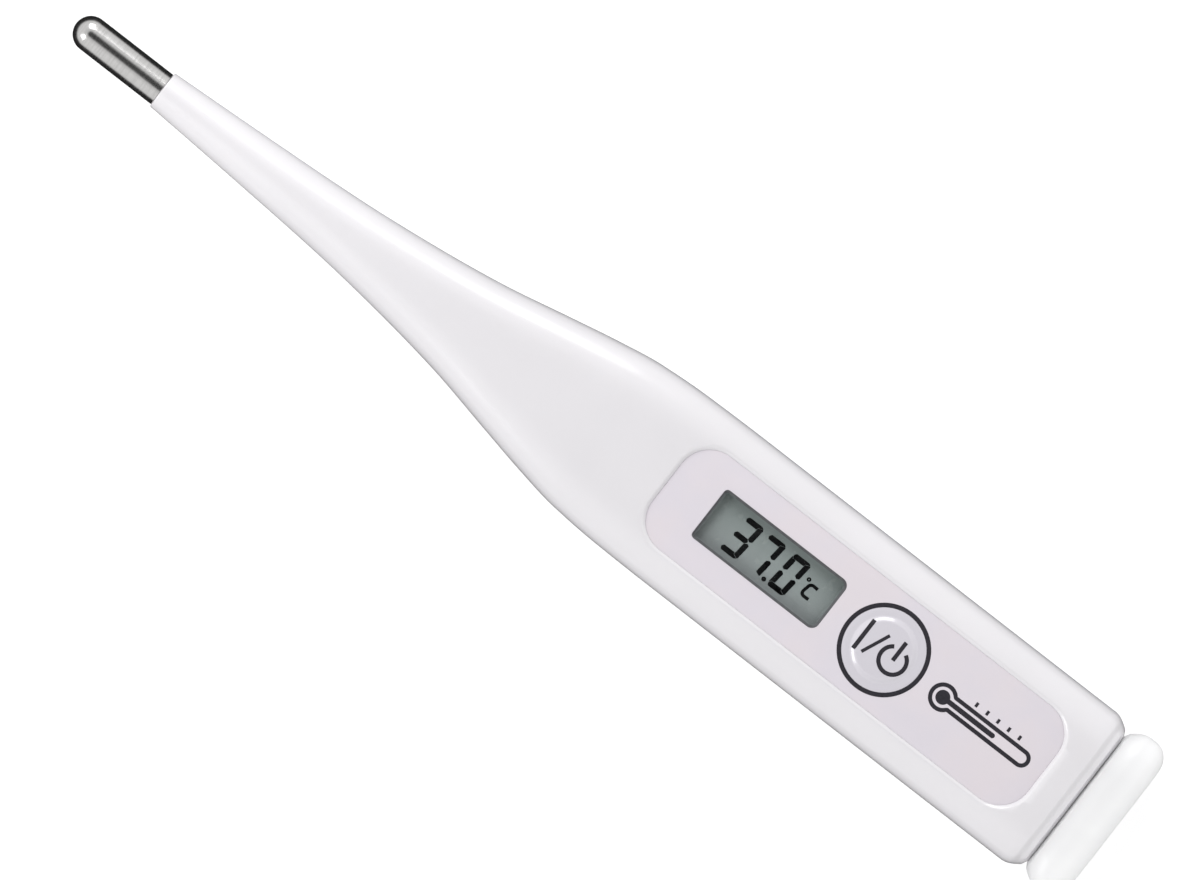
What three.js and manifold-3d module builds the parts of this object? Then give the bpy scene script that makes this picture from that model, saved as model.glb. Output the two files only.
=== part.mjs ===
// Pen-type digital clinical thermometer, in millimetres, lying on its back.
// +X runs from the probe tip to the battery cap, +Z is up, out of the display.
// Inside the group x is counted from the probe's tip; the group is then moved so that
// the origin is under the middle of the thermometer, on the surface it lies on.
import * as THREE from 'three';
import { mergeVertices } from 'three/addons/utils/BufferGeometryUtils.js';
import Module from 'manifold-3d';

const wasm = await Module();
wasm.setup();

// ---------------------------------------------------------------- driving dimensions
const LENGTH = 131.4;            // probe tip to the end of the battery cap
const MID_Z = 4.85;              // height of the probe's axis
const CAP_MID_Z = 5.0;
const CLEAR = 0.02;              // gap left between pieces that rest on each other
const EMBED = 0.1;               // how far joined solids run into each other
const PAST = 1;                  // how far a cutting solid runs past what it cuts

// Housing: half width and half height at points along its length.
const NOSE_X = 10.9;             // where the plastic starts, behind the steel tip
const SEAM_X = 126.5;            // rear face of the housing
const HALF_WIDTHS = [
  [NOSE_X, 2.07], [21.3, 2.66], [33.3, 3.46], [41.3, 4.3], [49.3, 5.45], [57.3, 7.1],
  [62.3, 8.12], [67.3, 8.93], [73, 9.27], [80, 9.35], [SEAM_X, 9.35],
];
const HALF_HEIGHTS = [
  [NOSE_X, 2.07], [21.3, 2.5], [33.3, 2.95], [45, 3.5], [57.3, 4.25], [67.3, 4.72],
  [80, 4.85], [SEAM_X, 4.85],
];
const ROUND_POWER = 2;           // superellipse power: round probe ...
const BODY_POWER = 3.8;          // ... turning into a soft rectangle at the display
const POWER_RAMP = [20, 78];
const FOOT_FACTOR = 1.062;       // the underside bulges this much more, then is cut flat at z = 0
const BEVEL_LENGTH = 2.2;        // rounded edge along the seam with the cap
const HOUSING_BEVEL = [1.1, 0.55];   // its depth at the sides, and at top and bottom
const WALL = 1.2;

// Cavity that the sliding chassis and the cap's plug fit in.
const CAVITY = { halfWidth: 7.6, halfHeight: 3.25, power: 4.5, startX: 22, fullX: 72 };
const BORE_RADIUS = 0.85;

// Steel tip, and the spigot of the housing that it is pushed onto
const TIP_RADIUS = 1.85;
const TIP_WALL = 0.18;
const SPIGOT = { x0: 7, radius: 1.62 };

// Sensor: its bead, and two leads with a slack length that lets the chassis slide out
const BEAD = { x: 2.4, radius: 0.62, stretch: 1.3 };
const EPOXY = { gap: 0.04, coreRadius: 0.8, coreX: 1.3, rear: 0.2 };
const LEAD = { radius: 0.16, landX: 76.3, landY: 1.5, landRise: 0.25 };
const LEAD_START = [[3.4, 0.25, 0], [6, 0.35, 0], [24, 0.4, 0], [44, 0.5, 0.3]];   // x, y, rise
const SLACK = { x0: 53, x1: 71, waves: 2, reach: 3.4, apart: 0.9 };

// Front panel
const PANEL = { x0: 74.9, x1: 122.15, halfWidth: 5.76, corner: 3.4 };
const RECESS_Z = 8.9;
const RECESS_GAP = 0.1;
const ADHESIVE_Z = [8.91, 8.98];
const ADHESIVE_INSET = [0.3, 0.2];       // from the panel's edge, and from the window's
const FILM_Z = [8.99, 9.25];
const WINDOW = { x: 87.7, y: 0.15, length: 15.6, width: 6, corner: 0.6, lightGap: 0.15 };
const LENS = { length: 16.4, width: 6.8, corner: 0.5, gap: 0.1, z0: 8.49, z1: 8.89 };

// Power key: a rimmed disc with a low crown, on a stem that reaches the switch
const KEY_X = 102.2;
const KEY_RADIUS = 4.25;
const KEY_HOLE_RADIUS = 4.32;
const KEY_FLANGE_RADIUS = 4.7;
const KEY_WELL_RADIUS = 4.85;
const KEY_STEM_RADIUS = 2.6;
const KEY_GUIDE_RADIUS = 3;
const KEY_FLANGE_Z = [8.77, 8.95];
const KEY_STEM_Z = 8.1;
const KEY_LIP_Z = 8.45;
const KEY_CROWN = [              // radius, and height above the film
  [KEY_RADIUS, -0.04], [4.17, 0], [3.5, 0.01], [3.2, 0.1], [2.9, 0.19], [2.4, 0.235], [0, 0.26],
];

// Chassis: a channel with ribs, heat-staked pins for the board, and a block for the cell
const CHASSIS = {
  x0: 74, x1: 121.2, footHalf: 5.6, footZ: 1.95, floorHalf: 5.1, floorZ: 2.3,
  innerHalf: 6.2, outerHalf: 7, bendZ: 3.2, rimZ: 7.2,
};
const RIBS = { at: [79, 88, 96, 106.8], length: 1.2, innerY: 5.4 };
const STAKES = { at: [75.85, 109.2], y: 4.9, shoulder: 0.75, pin: 0.5, hole: 0.62, head: 0.35 };
const SKIDS = { x0: 75, y0: 2.4, y1: 3.4, z: 1.69 };
const FRONT_WALL = { thick: 0.7, z1: 4.4 };
const CELL_BLOCK = { x0: 111.7, z1: 6.6, gap: 0.15, floorZ: 2.9 };
const CONTACT_SLOT = { x0: 111, x1: 114, halfWidth: 1.45 };
const FINGER_SLOT = { x0: 119, halfWidth: 2.2, z0: 3.9 };

// Circuit board and what is soldered or bonded to it
const BOARD = { x0: 75, x1: 111.4, halfWidth: 6.1, z0: 4.6, z1: 5.4 };
const GLOB = { x: 86, radius: 3, height: 1 };
const CHIP = { x: 107.2, halfLength: 0.7, halfWidth: 0.4, height: 0.58, capProud: 0.02 };
const CHIP_CAP = { inner: 0.5, outer: 0.8, height: 0.62 };
const CAPACITOR_YS = [3.4, -3.4];
const RESISTOR_YS = [1.2, -1.2];

// Display cell, from the board up
const CELL = {
  reflector: { z: [6.36, 6.54], length: 17.6, width: 6.2 },
  rear: { z: [6.56, 7.06], length: 19, width: 6.6 },
  front: { z: [7.08, 7.58], length: 19, width: 9.4 },
  polariser: { z: [7.6, 7.75], length: 17.6, width: 8 },
};
const FRAME = { x0: 76.9, x1: 98.4, halfWidth: 5.9, z1: 7.7, cellGap: 0.15, lip: [17.9, 8.3] };
const ZEBRA = { halfLength: 8.2, y0: 3.55, y1: 4.55 };

// Push switch under the key
const SWITCH = {
  half: 2.25, coverZ: 7.27, coverThick: 0.15, coverHole: 1.25, pocketZ: 6.2, pocketRadius: 1.85,
};
const DOME = { radius: 1.7, rise: 0.26, thick: 0.08 };
const PLUNGER = { foot: 1.65, footZ: [6.8, 7.2], radius: 1.1, topZ: 8.06, chamfer: 0.08 };

// Button cell and its contact strips: [x, z] points along each strip
const BATTERY = {
  x: 116.6, radius: 3.95, z0: 3.16, z1: 6.76, wall: 0.25, edge: 0.2, seal: 0.35, sealHeight: 1.55,
};
const STRIP = { thick: 0.12, width: 2.4 };
const POSITIVE_STRIP = [[109.9, 5.5], [111.4, 5.5], [112.1, 6.95], [114.2, 6.86], [115, 7.1]];
const NEGATIVE_STRIP = [[109.9, 4.48], [111.3, 4.48], [112, 3.06], [118.6, 3.06]];

// Sounder disc, on its ring-shaped seat
const BUZZER = {
  x: 101.5, plateRadius: 5, plateZ: [2.62, 2.82], ceramicRadius: 3.6, ceramicZ: [2.84, 3.04],
  seatRadius: 4.7, seatHollow: 4.1, seatZ: 2.6,
};
const BUZZER_LEAD = { radius: 0.12, bow: 0.7, lift: 0.15, landGap: 0.17, xs: [99.6, 105.7] };

// End cap: a hollow plug with a seal groove, behind a rounded end
const CAP_BEVEL = [1.2, 0.75];           // depth at the sides, and at top and bottom
const CAP_HALF_WIDTH = 9.45;
const CAP_HALF_HEIGHT = 5.0;
const CAP_START_X = 126.65;
const CAP_END_ROUND = [2, 2.2, 1.4];     // length, side depth, top depth
const PLUG = { x0: 121.8, gap: 0.12, hollowHalf: [6.3, 2.4], hollowX1: 129.8 };
const SEAL = { x: [123.3, 124.3], depth: 0.5, gap: 0.05, squeeze: 0.03, seat: 0.04 };

// ---------------------------------------------------------------- materials
const finish = (color, roughness, metalness = 0, opacity = 1) =>
  new THREE.MeshStandardMaterial({
    color, roughness, metalness, opacity, transparent: opacity < 1,
  });
const material = {
  shell: finish(0xf1eff2, 0.3),
  cap: finish(0xf4f4f4, 0.35, 0, 0.9),
  panel: finish(0xe3dce5, 0.3),
  key: finish(0xe2dde6, 0.3),
  adhesive: finish(0xe8e4da, 0.8),
  lens: finish(0xf4f8f8, 0.03, 0, 0.25),
  steel: finish(0xc6c6c8, 0.15, 1),
  epoxy: finish(0x4a4440, 0.6),
  bead: finish(0x2c1a12, 0.3),
  leadRed: finish(0xa83224, 0.4),
  leadGreen: finish(0x2f6b43, 0.4),
  chassis: finish(0xd8d8d4, 0.5),
  board: finish(0x1f6a44, 0.45),
  black: finish(0x131314, 0.5),
  ceramicChip: finish(0xb79a74, 0.6),
  resistor: finish(0x1c1c20, 0.5),
  glass: finish(0xd6e4de, 0.05, 0, 0.35),
  polariser: finish(0xa3aea8, 0.3, 0, 0.5),
  reflector: finish(0x8f9c97, 0.35, 0.3),
  zebra: finish(0x7fa3c4, 0.7),
  bronze: finish(0xc79a5a, 0.3, 1),
  brass: finish(0xd8b45c, 0.3, 1),
  piezo: finish(0xe9e4d6, 0.6),
  nickel: finish(0xbfc0c2, 0.25, 1),
  gasket: finish(0x3a3f46, 0.7),
  rubber: finish(0x8c8f92, 0.8),
};

// ---------------------------------------------------------------- geometry helpers
const part = new THREE.Group();
part.position.x = -LENGTH / 2;

function add(name, geometry, look) {
  const mesh = new THREE.Mesh(outward(geometry), look);
  mesh.name = name;
  part.add(mesh);
}

// The geometry with only its positions, merged into one closed surface.
function bare(geometry) {
  const copy = geometry.clone();
  copy.deleteAttribute('normal');
  copy.deleteAttribute('uv');
  return mergeVertices(copy, 1e-4);
}

function asSolid(geometry) {
  const g = bare(geometry);
  const faces = new Uint32Array(g.index.array);
  const build = () => new wasm.Manifold(new wasm.Mesh({
    numProp: 3, vertProperties: new Float32Array(g.attributes.position.array), triVerts: faces,
  }));
  const made = build();
  if (made.volume() >= 0) return made;
  for (let i = 0; i < faces.length; i += 3) [faces[i], faces[i + 1]] = [faces[i + 1], faces[i]];
  return build();
}

function asGeometry(solid) {
  const mesh = solid.getMesh();
  const geometry = new THREE.BufferGeometry();
  geometry.setAttribute('position', new THREE.BufferAttribute(mesh.vertProperties, 3));
  geometry.setIndex(new THREE.BufferAttribute(mesh.triVerts, 1));
  geometry.computeVertexNormals();
  return geometry;
}

const outward = (geometry) => asGeometry(asSolid(geometry));

// base with the other geometries joined to it, then with the last ones cut away.
function carve(base, { join = [], cut = [] }) {
  let solid = asSolid(base);
  for (const g of join) solid = solid.add(asSolid(g));
  for (const g of cut) solid = solid.subtract(asSolid(g));
  return asGeometry(solid);
}

function block(x0, x1, y0, y1, z0, z1) {
  const g = new THREE.BoxGeometry(x1 - x0, y1 - y0, z1 - z0);
  return g.translate((x0 + x1) / 2, (y0 + y1) / 2, (z0 + z1) / 2);
}

// A block on one side of the XZ plane: side is 1 or -1, and near and far are distances from it.
function sideBlock(side, x0, x1, near, far, z0, z1) {
  const [a, b] = [side * near, side * far].sort((p, q) => p - q);
  return block(x0, x1, a, b, z0, z1);
}

function post(x, y, radius, z0, z1, sides = 24) {
  const g = new THREE.CylinderGeometry(radius, radius, z1 - z0, sides);
  return g.rotateX(Math.PI / 2).translate(x, y, (z0 + z1) / 2);
}

// Solid of revolution about a line along X: profile points are [x, radius].
function turnedAboutX(profile, segments) {
  const points = profile.map(([x, r]) => new THREE.Vector2(r, x));
  return new THREE.LatheGeometry(points, segments).rotateZ(-Math.PI / 2).translate(0, 0, MID_Z);
}

// Solid of revolution about a vertical line at (x, y): profile points are [radius, z].
function turnedAboutZ(profile, x, y, segments) {
  const points = profile.map(([r, z]) => new THREE.Vector2(r, z));
  return new THREE.LatheGeometry(points, segments).rotateX(Math.PI / 2).translate(x, y, 0);
}

function roundedRectangle(x, y, length, width, corner) {
  const [a, b] = [length / 2 - corner, width / 2 - corner];
  const shape = new THREE.Shape();
  shape.absarc(x + a, y - b, corner, -Math.PI / 2, 0);
  shape.absarc(x + a, y + b, corner, 0, Math.PI / 2);
  shape.absarc(x - a, y + b, corner, Math.PI / 2, Math.PI);
  shape.absarc(x - a, y - b, corner, Math.PI, 1.5 * Math.PI);
  shape.closePath();
  return shape;
}

// Flat plate between two heights, with optional holes, from shapes drawn in plan.
function plate(outline, z0, z1, curveSegments = 6, holes = []) {
  outline.holes = holes;
  const options = { depth: z1 - z0, bevelEnabled: false, curveSegments };
  return new THREE.ExtrudeGeometry(outline, options).translate(0, 0, z0);
}

// A strip of sheet metal bent along [x, z] points, of a given thickness and width.
function bentStrip(points, thickness, y, width) {
  const at = points.map(([x, z]) => new THREE.Vector2(x, z));
  const sides = at.map((p, i) => {
    const before = at[Math.max(0, i - 1)];
    const after = at[Math.min(at.length - 1, i + 1)];
    const along = after.clone().sub(before).normalize();
    return new THREE.Vector2(-along.y, along.x).multiplyScalar(thickness / 2);
  });
  const upper = at.map((p, i) => p.clone().add(sides[i]));
  const lower = at.map((p, i) => p.clone().sub(sides[i])).reverse();
  const shape = new THREE.Shape([...upper, ...lower]);
  const g = new THREE.ExtrudeGeometry(shape, { depth: width, bevelEnabled: false });
  return g.rotateX(Math.PI / 2).translate(0, y + width / 2, 0);
}

function wire(points, radius, steps) {
  const sides = 5;
  const ring = Array.from({ length: sides }, (_, i) => {
    const turn = (2 * Math.PI * i) / sides;
    return new THREE.Vector2(radius * Math.cos(turn), radius * Math.sin(turn));
  });
  const extrudePath = new THREE.CatmullRomCurve3(points);
  return new THREE.ExtrudeGeometry(new THREE.Shape(ring), { steps, extrudePath });
}

// Smooth curve through [x, value] points that never overshoots them.
function through(points) {
  const slopes = points.slice(1).map(([x, v], i) => (v - points[i][1]) / (x - points[i][0]));
  const tangents = points.map((_, i) => {
    const [left, right] = [slopes[i - 1], slopes[i]];
    if (left === undefined) return right;
    if (right === undefined) return left;
    return left * right <= 0 ? 0 : (2 * left * right) / (left + right);
  });
  return (x) => {
    const last = points.length - 2;
    const i = Math.min(last, Math.max(0, points.findIndex(([px]) => px > x) - 1));
    const k = points.at(-1)[0] <= x ? last : i;
    const [[x0, v0], [x1, v1]] = [points[k], points[k + 1]];
    const span = x1 - x0;
    const t = THREE.MathUtils.clamp((x - x0) / span, 0, 1);
    return v0 * (1 + 2 * t) * (1 - t) ** 2 + v1 * t * t * (3 - 2 * t)
      + span * t * (1 - t) * (tangents[k] * (1 - t) - tangents[k + 1] * t);
  };
}

// One cross-section at x: a superellipse with its own reach up and down, cut off at z = 0.
function section(x, midZ, halfWidth, up, down, power, segments) {
  const bulge = (c) => Math.sign(c) * Math.abs(c) ** (2 / power);
  return Array.from({ length: segments }, (_, i) => {
    const turn = (2 * Math.PI * (i + 0.5)) / segments;
    const rise = bulge(Math.sin(turn));
    const z = midZ + rise * (rise > 0 ? up : down);
    return new THREE.Vector3(x, halfWidth * bulge(Math.cos(turn)), Math.max(0, z));
  });
}

// Closed solid through cross-sections that all have the same number of points.
function loft(sections) {
  const count = sections[0].length;
  const positions = sections.flat().flatMap((p) => p.toArray());
  const faces = [];
  const middle = (s) => s.reduce((sum, p) => sum.add(p), new THREE.Vector3()).divideScalar(count);
  const [first, last] = [positions.length / 3, positions.length / 3 + 1];
  positions.push(...middle(sections[0]).toArray(), ...middle(sections.at(-1)).toArray());
  const tail = (sections.length - 1) * count;
  for (let k = 0; k < count; k++) {
    const next = (k + 1) % count;
    for (let i = 0; i < tail; i += count) {
      faces.push(i + k, i + next, i + count + next, i + k, i + count + next, i + count + k);
    }
    faces.push(first, next, k, last, tail + k, tail + next);
  }
  const geometry = new THREE.BufferGeometry();
  geometry.setAttribute('position', new THREE.Float32BufferAttribute(positions, 3));
  return geometry.setIndex(faces);
}

// Straight plug along X with a superelliptic section.
function plug(x0, x1, midZ, halfWidth, halfHeight, power, segments) {
  return loft([x0, x1].map((x) =>
    section(x, midZ, halfWidth, halfHeight, halfHeight, power, segments)));
}

const spread = (from, to, steps) =>
  Array.from({ length: steps + 1 }, (_, i) => from + ((to - from) * i) / steps);
const bothSides = (make) => [-1, 1].flatMap(make);

// ---------------------------------------------------------------- housing
const housingHalfWidth = through(HALF_WIDTHS);
const housingHalfHeight = through(HALF_HEIGHTS);
const powerAt = (x) =>
  THREE.MathUtils.lerp(ROUND_POWER, BODY_POWER, THREE.MathUtils.smoothstep(x, ...POWER_RAMP));
const bevelShare = (u) => 1 - Math.sin((Math.PI / 2) * THREE.MathUtils.clamp(u, 0, 1));

function housingShell() {
  const stations = [
    ...spread(NOSE_X, 42, 6), ...spread(46, 74, 10), 80,
    ...spread(SEAM_X - BEVEL_LENGTH, SEAM_X, 4),
  ];
  return loft(stations.map((x) => {
    const share = bevelShare((SEAM_X - x) / BEVEL_LENGTH);
    const up = housingHalfHeight(x) - share * HOUSING_BEVEL[1];
    const down = housingHalfHeight(x) * FOOT_FACTOR - share * HOUSING_BEVEL[1];
    const halfWidth = housingHalfWidth(x) - share * HOUSING_BEVEL[0];
    return section(x, MID_Z, halfWidth, up, down, powerAt(x), 36);
  }));
}

function cavity() {
  const stations = [...spread(CAVITY.startX, 46, 3), ...spread(50, CAVITY.fullX, 5), SEAM_X + PAST];
  const powerGain = CAVITY.power - BODY_POWER;
  return loft(stations.map((x) => {
    const halfWidth = Math.min(CAVITY.halfWidth, housingHalfWidth(x) - WALL);
    const halfHeight = Math.min(CAVITY.halfHeight, housingHalfHeight(x) - WALL);
    const ramp = THREE.MathUtils.smoothstep(x, CAVITY.startX, CAVITY.fullX);
    const power = powerAt(x) + powerGain * ramp;
    return section(x, MID_Z, halfWidth, halfHeight, halfHeight, power, 28);
  }));
}

const panelOutline = (gap = 0) => roundedRectangle(
  (PANEL.x0 + PANEL.x1) / 2, 0, PANEL.x1 - PANEL.x0 + 2 * gap, 2 * (PANEL.halfWidth + gap),
  PANEL.corner + gap,
);

function housing() {
  const spigot = [[SPIGOT.x0, 0], [SPIGOT.x0, SPIGOT.radius], [NOSE_X + PAST, SPIGOT.radius],
    [NOSE_X + PAST, 0]];
  const bore = [[SPIGOT.x0 - PAST, 0], [SPIGOT.x0 - PAST, BORE_RADIUS],
    [CAVITY.startX + PAST, BORE_RADIUS], [CAVITY.startX + PAST, 0]];
  const cavityTop = MID_Z + CAVITY.halfHeight;
  const opening = (length, width, gap, z0) => block(
    WINDOW.x - length / 2 - gap, WINDOW.x + length / 2 + gap,
    WINDOW.y - width / 2 - gap, WINDOW.y + width / 2 + gap, z0, RECESS_Z + PAST,
  );
  return carve(housingShell(), {
    join: [turnedAboutX(spigot, 20)],
    cut: [
      turnedAboutX(bore, 16),
      cavity(),
      plate(panelOutline(RECESS_GAP), RECESS_Z, RECESS_Z + PAST),
      opening(LENS.length, LENS.width, LENS.gap, LENS.z0 - CLEAR),
      opening(WINDOW.length, WINDOW.width, WINDOW.lightGap, cavityTop - PAST),
      post(KEY_X, 0, KEY_WELL_RADIUS, KEY_LIP_Z, RECESS_Z + PAST, 32),
      post(KEY_X, 0, KEY_GUIDE_RADIUS, cavityTop - PAST, KEY_LIP_Z + EMBED, 32),
    ],
  });
}

// ---------------------------------------------------------------- probe
function steelTip() {
  const dome = spread(0, Math.PI / 2, 6);
  const outer = dome.map((a) => [TIP_RADIUS * (1 - Math.cos(a)), TIP_RADIUS * Math.sin(a)]);
  const inside = TIP_RADIUS - TIP_WALL;
  const inner = dome.map((a) => [TIP_RADIUS - inside * Math.cos(a), inside * Math.sin(a)]);
  const rear = NOSE_X - CLEAR;
  return turnedAboutX([...outer, [rear, TIP_RADIUS], [rear, inside], ...inner.reverse()], 28);
}

function tipEpoxy() {
  const radius = TIP_RADIUS - TIP_WALL - EPOXY.gap;
  const dome = spread(0, Math.PI / 2, 4);
  const outer = dome.map((a) => [TIP_RADIUS - radius * Math.cos(a), radius * Math.sin(a)]);
  const rear = SPIGOT.x0 - EPOXY.rear;
  return turnedAboutX([...outer, [rear, radius], [rear, EPOXY.coreRadius],
    [EPOXY.coreX, EPOXY.coreRadius], [EPOXY.coreX, 0]], 16);
}

function thermistorBead() {
  return new THREE.SphereGeometry(BEAD.radius, 12, 8).scale(BEAD.stretch, 1, 1)
    .translate(BEAD.x, 0, MID_Z);
}

// Enamelled lead from the bead to its pad: straight through the probe, then the wavy slack.
function probeLead(side) {
  const wave = spread(SLACK.x0, SLACK.x1, 16).map((x) => {
    const turn = (2 * Math.PI * SLACK.waves * (x - SLACK.x0)) / (SLACK.x1 - SLACK.x0);
    return new THREE.Vector3(x, SLACK.reach * Math.sin(turn), MID_Z + SLACK.apart * side);
  });
  const straight = LEAD_START.map(([x, y, rise]) =>
    new THREE.Vector3(x, side * y, MID_Z + side * rise));
  const landZ = BOARD.z1 + LEAD.landRise;
  const arrival = [new THREE.Vector3(73.4, side, landZ + EMBED * side),
    new THREE.Vector3(LEAD.landX, side * LEAD.landY, landZ)];
  return wire([...straight, ...wave, ...arrival], LEAD.radius, 52);
}

// ---------------------------------------------------------------- front panel
const circleHole = (x, radius) => {
  const path = new THREE.Path();
  path.absarc(x, 0, radius, 0, 2 * Math.PI);
  return path;
};

function overlayFilm() {
  const { x, y, length, width, corner } = WINDOW;
  return plate(panelOutline(), ...FILM_Z, 12,
    [roundedRectangle(x, y, length, width, corner), circleHole(KEY_X, KEY_HOLE_RADIUS)]);
}

function panelAdhesive() {
  const { x, y, length, width, corner } = WINDOW;
  const [edge, rim] = ADHESIVE_INSET;
  return plate(panelOutline(-edge), ...ADHESIVE_Z, 12, [
    roundedRectangle(x, y, length + 2 * rim, width + 2 * rim, corner),
    circleHole(KEY_X, KEY_WELL_RADIUS),
  ]);
}

function displayLens() {
  const outline = roundedRectangle(WINDOW.x, WINDOW.y, LENS.length, LENS.width, LENS.corner);
  return plate(outline, LENS.z0, LENS.z1, 3);
}

function powerKey() {
  const crown = KEY_CROWN.map(([radius, rise]) => [radius, FILM_Z[1] + rise]);
  return turnedAboutZ([
    [0, KEY_STEM_Z], [KEY_STEM_RADIUS, KEY_STEM_Z], [KEY_STEM_RADIUS, KEY_FLANGE_Z[0]],
    [KEY_FLANGE_RADIUS, KEY_FLANGE_Z[0]], [KEY_FLANGE_RADIUS, KEY_FLANGE_Z[1]],
    [KEY_RADIUS, KEY_FLANGE_Z[1]], ...crown,
  ], KEY_X, 0, 32);
}

// ---------------------------------------------------------------- sliding chassis
function chassis() {
  const { x0, x1, footHalf, footZ, floorHalf, floorZ, innerHalf, outerHalf, bendZ, rimZ } = CHASSIS;
  const joinHalf = (innerHalf + outerHalf) / 2;
  // Drawn as [y, z]: up the inside of one wall, over its rim and down the outside.
  const wall = [[floorHalf, floorZ], [innerHalf, bendZ], [innerHalf, rimZ], [outerHalf, rimZ],
    [outerHalf, bendZ - EMBED], [footHalf, footZ]];
  const opposite = wall.map(([y, z]) => [-y, z]).reverse();
  const outline = [...wall, ...opposite].map(([y, z]) => new THREE.Vector2(y, z));
  const channel = new THREE.ExtrudeGeometry(new THREE.Shape(outline), {
    depth: x1 - x0, bevelEnabled: false,
  }).rotateX(Math.PI / 2).rotateZ(Math.PI / 2).translate(x0, 0, 0);
  const [deep, restZ] = [floorZ - EMBED, BOARD.z0 - CLEAR];
  const ribs = RIBS.at.flatMap((x) => bothSides((side) =>
    sideBlock(side, x, x + RIBS.length, RIBS.innerY, joinHalf, deep, restZ)));
  const stakes = STAKES.at.flatMap((x) => bothSides((side) => [
    post(x, side * STAKES.y, STAKES.shoulder, deep, restZ, 12),
    post(x, side * STAKES.y, STAKES.pin, restZ - EMBED, BOARD.z1 + STAKES.head, 12),
  ]));
  const skids = bothSides((side) =>
    sideBlock(side, SKIDS.x0, x1, SKIDS.y0, SKIDS.y1, SKIDS.z, deep));
  const cellBlock = block(CELL_BLOCK.x0, x1, -joinHalf, joinHalf, deep, CELL_BLOCK.z1);
  const frontWall = block(x0, x0 + FRONT_WALL.thick, -joinHalf, joinHalf, deep, FRONT_WALL.z1);
  const buzzerSeat = carve(post(BUZZER.x, 0, BUZZER.seatRadius, deep, BUZZER.seatZ, 28),
    { cut: [post(BUZZER.x, 0, BUZZER.seatHollow, deep - PAST, BUZZER.seatZ + PAST, 28)] });
  const topZ = rimZ + PAST;
  return carve(channel, {
    join: [...ribs, ...stakes, ...skids, cellBlock, frontWall, buzzerSeat],
    cut: [
      post(BATTERY.x, 0, BATTERY.radius + CELL_BLOCK.gap, CELL_BLOCK.floorZ, topZ, 32),
      block(CONTACT_SLOT.x0, CONTACT_SLOT.x1, -CONTACT_SLOT.halfWidth, CONTACT_SLOT.halfWidth,
        CELL_BLOCK.floorZ, topZ),
      block(FINGER_SLOT.x0, x1 + PAST, -FINGER_SLOT.halfWidth, FINGER_SLOT.halfWidth,
        FINGER_SLOT.z0, topZ),
    ],
  });
}

function circuitBoard() {
  const { x0, x1, halfWidth, z0, z1 } = BOARD;
  const holes = STAKES.at.flatMap((x) => bothSides((side) =>
    post(x, side * STAKES.y, STAKES.hole, z0 - PAST, z1 + PAST, 12)));
  return carve(block(x0, x1, -halfWidth, halfWidth, z0, z1), { cut: holes });
}

function chipGlobTop() {
  const z = BOARD.z0 - CLEAR;
  const dome = spread(0, Math.PI / 2, 5)
    .map((a) => [GLOB.radius * Math.cos(a), z - GLOB.height * Math.sin(a)]);
  return turnedAboutZ([[0, z], ...dome], GLOB.x, 0, 20);
}

// Surface-mount chip, its two end terminals slightly proud of the middle.
function chipPart(y) {
  const { x, halfLength, halfWidth, height, capProud } = CHIP;
  const z0 = BOARD.z1 + CLEAR;
  const capHalf = halfWidth + capProud;
  const ends = bothSides((side) =>
    sideBlock(side, x - capHalf, x + capHalf, CHIP_CAP.inner, CHIP_CAP.outer,
      z0, z0 + CHIP_CAP.height).translate(0, y, 0));
  return carve(block(x - halfWidth, x + halfWidth, y - halfLength, y + halfLength, z0, z0 + height),
    { join: ends });
}

// ---------------------------------------------------------------- display module
function windowBlock(length, width, z0, z1) {
  const [a, b] = [length / 2, width / 2];
  return block(WINDOW.x - a, WINDOW.x + a, WINDOW.y - b, WINDOW.y + b, z0, z1);
}

const cellLayer = ({ z, length, width }) => windowBlock(length, width, ...z);

function zebraStrip(side) {
  const { halfLength, y0, y1 } = ZEBRA;
  return sideBlock(side, WINDOW.x - halfLength, WINDOW.x + halfLength, y0, y1,
    BOARD.z1 + CLEAR, CELL.front.z[0] - CLEAR).translate(0, WINDOW.y, 0);
}

function displayFrame() {
  const z0 = BOARD.z1 + CLEAR;
  const { x0, x1, halfWidth, z1, cellGap, lip } = FRAME;
  const { length, width, z } = CELL.front;
  return carve(block(x0, x1, -halfWidth, halfWidth, z0, z1), {
    cut: [
      windowBlock(length + 2 * cellGap, width + 2 * cellGap, z0 - PAST, z[1] + CLEAR),
      windowBlock(...lip, z0, z1 + PAST),
    ],
  });
}

// ---------------------------------------------------------------- push switch
function switchBase() {
  const { half, coverZ, pocketZ, pocketRadius } = SWITCH;
  return carve(
    block(KEY_X - half, KEY_X + half, -half, half, BOARD.z1 + CLEAR, coverZ - CLEAR),
    { cut: [post(KEY_X, 0, pocketRadius, pocketZ, coverZ + PAST)] },
  );
}

function switchCover() {
  const { half, coverZ, coverThick, coverHole } = SWITCH;
  return carve(block(KEY_X - half, KEY_X + half, -half, half, coverZ, coverZ + coverThick),
    { cut: [post(KEY_X, 0, coverHole, coverZ - PAST, coverZ + PAST)] });
}

function switchDome() {
  const { radius, rise, thick } = DOME;
  const foot = SWITCH.pocketZ + CLEAR;
  const arc = spread(0, Math.PI / 2, 5);
  const at = (r, h) => arc.map((a) => [r * Math.cos(a), foot + h * Math.sin(a)]);
  return turnedAboutZ([...at(radius - thick, rise - thick).reverse(), ...at(radius, rise)],
    KEY_X, 0, 20);
}

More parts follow.
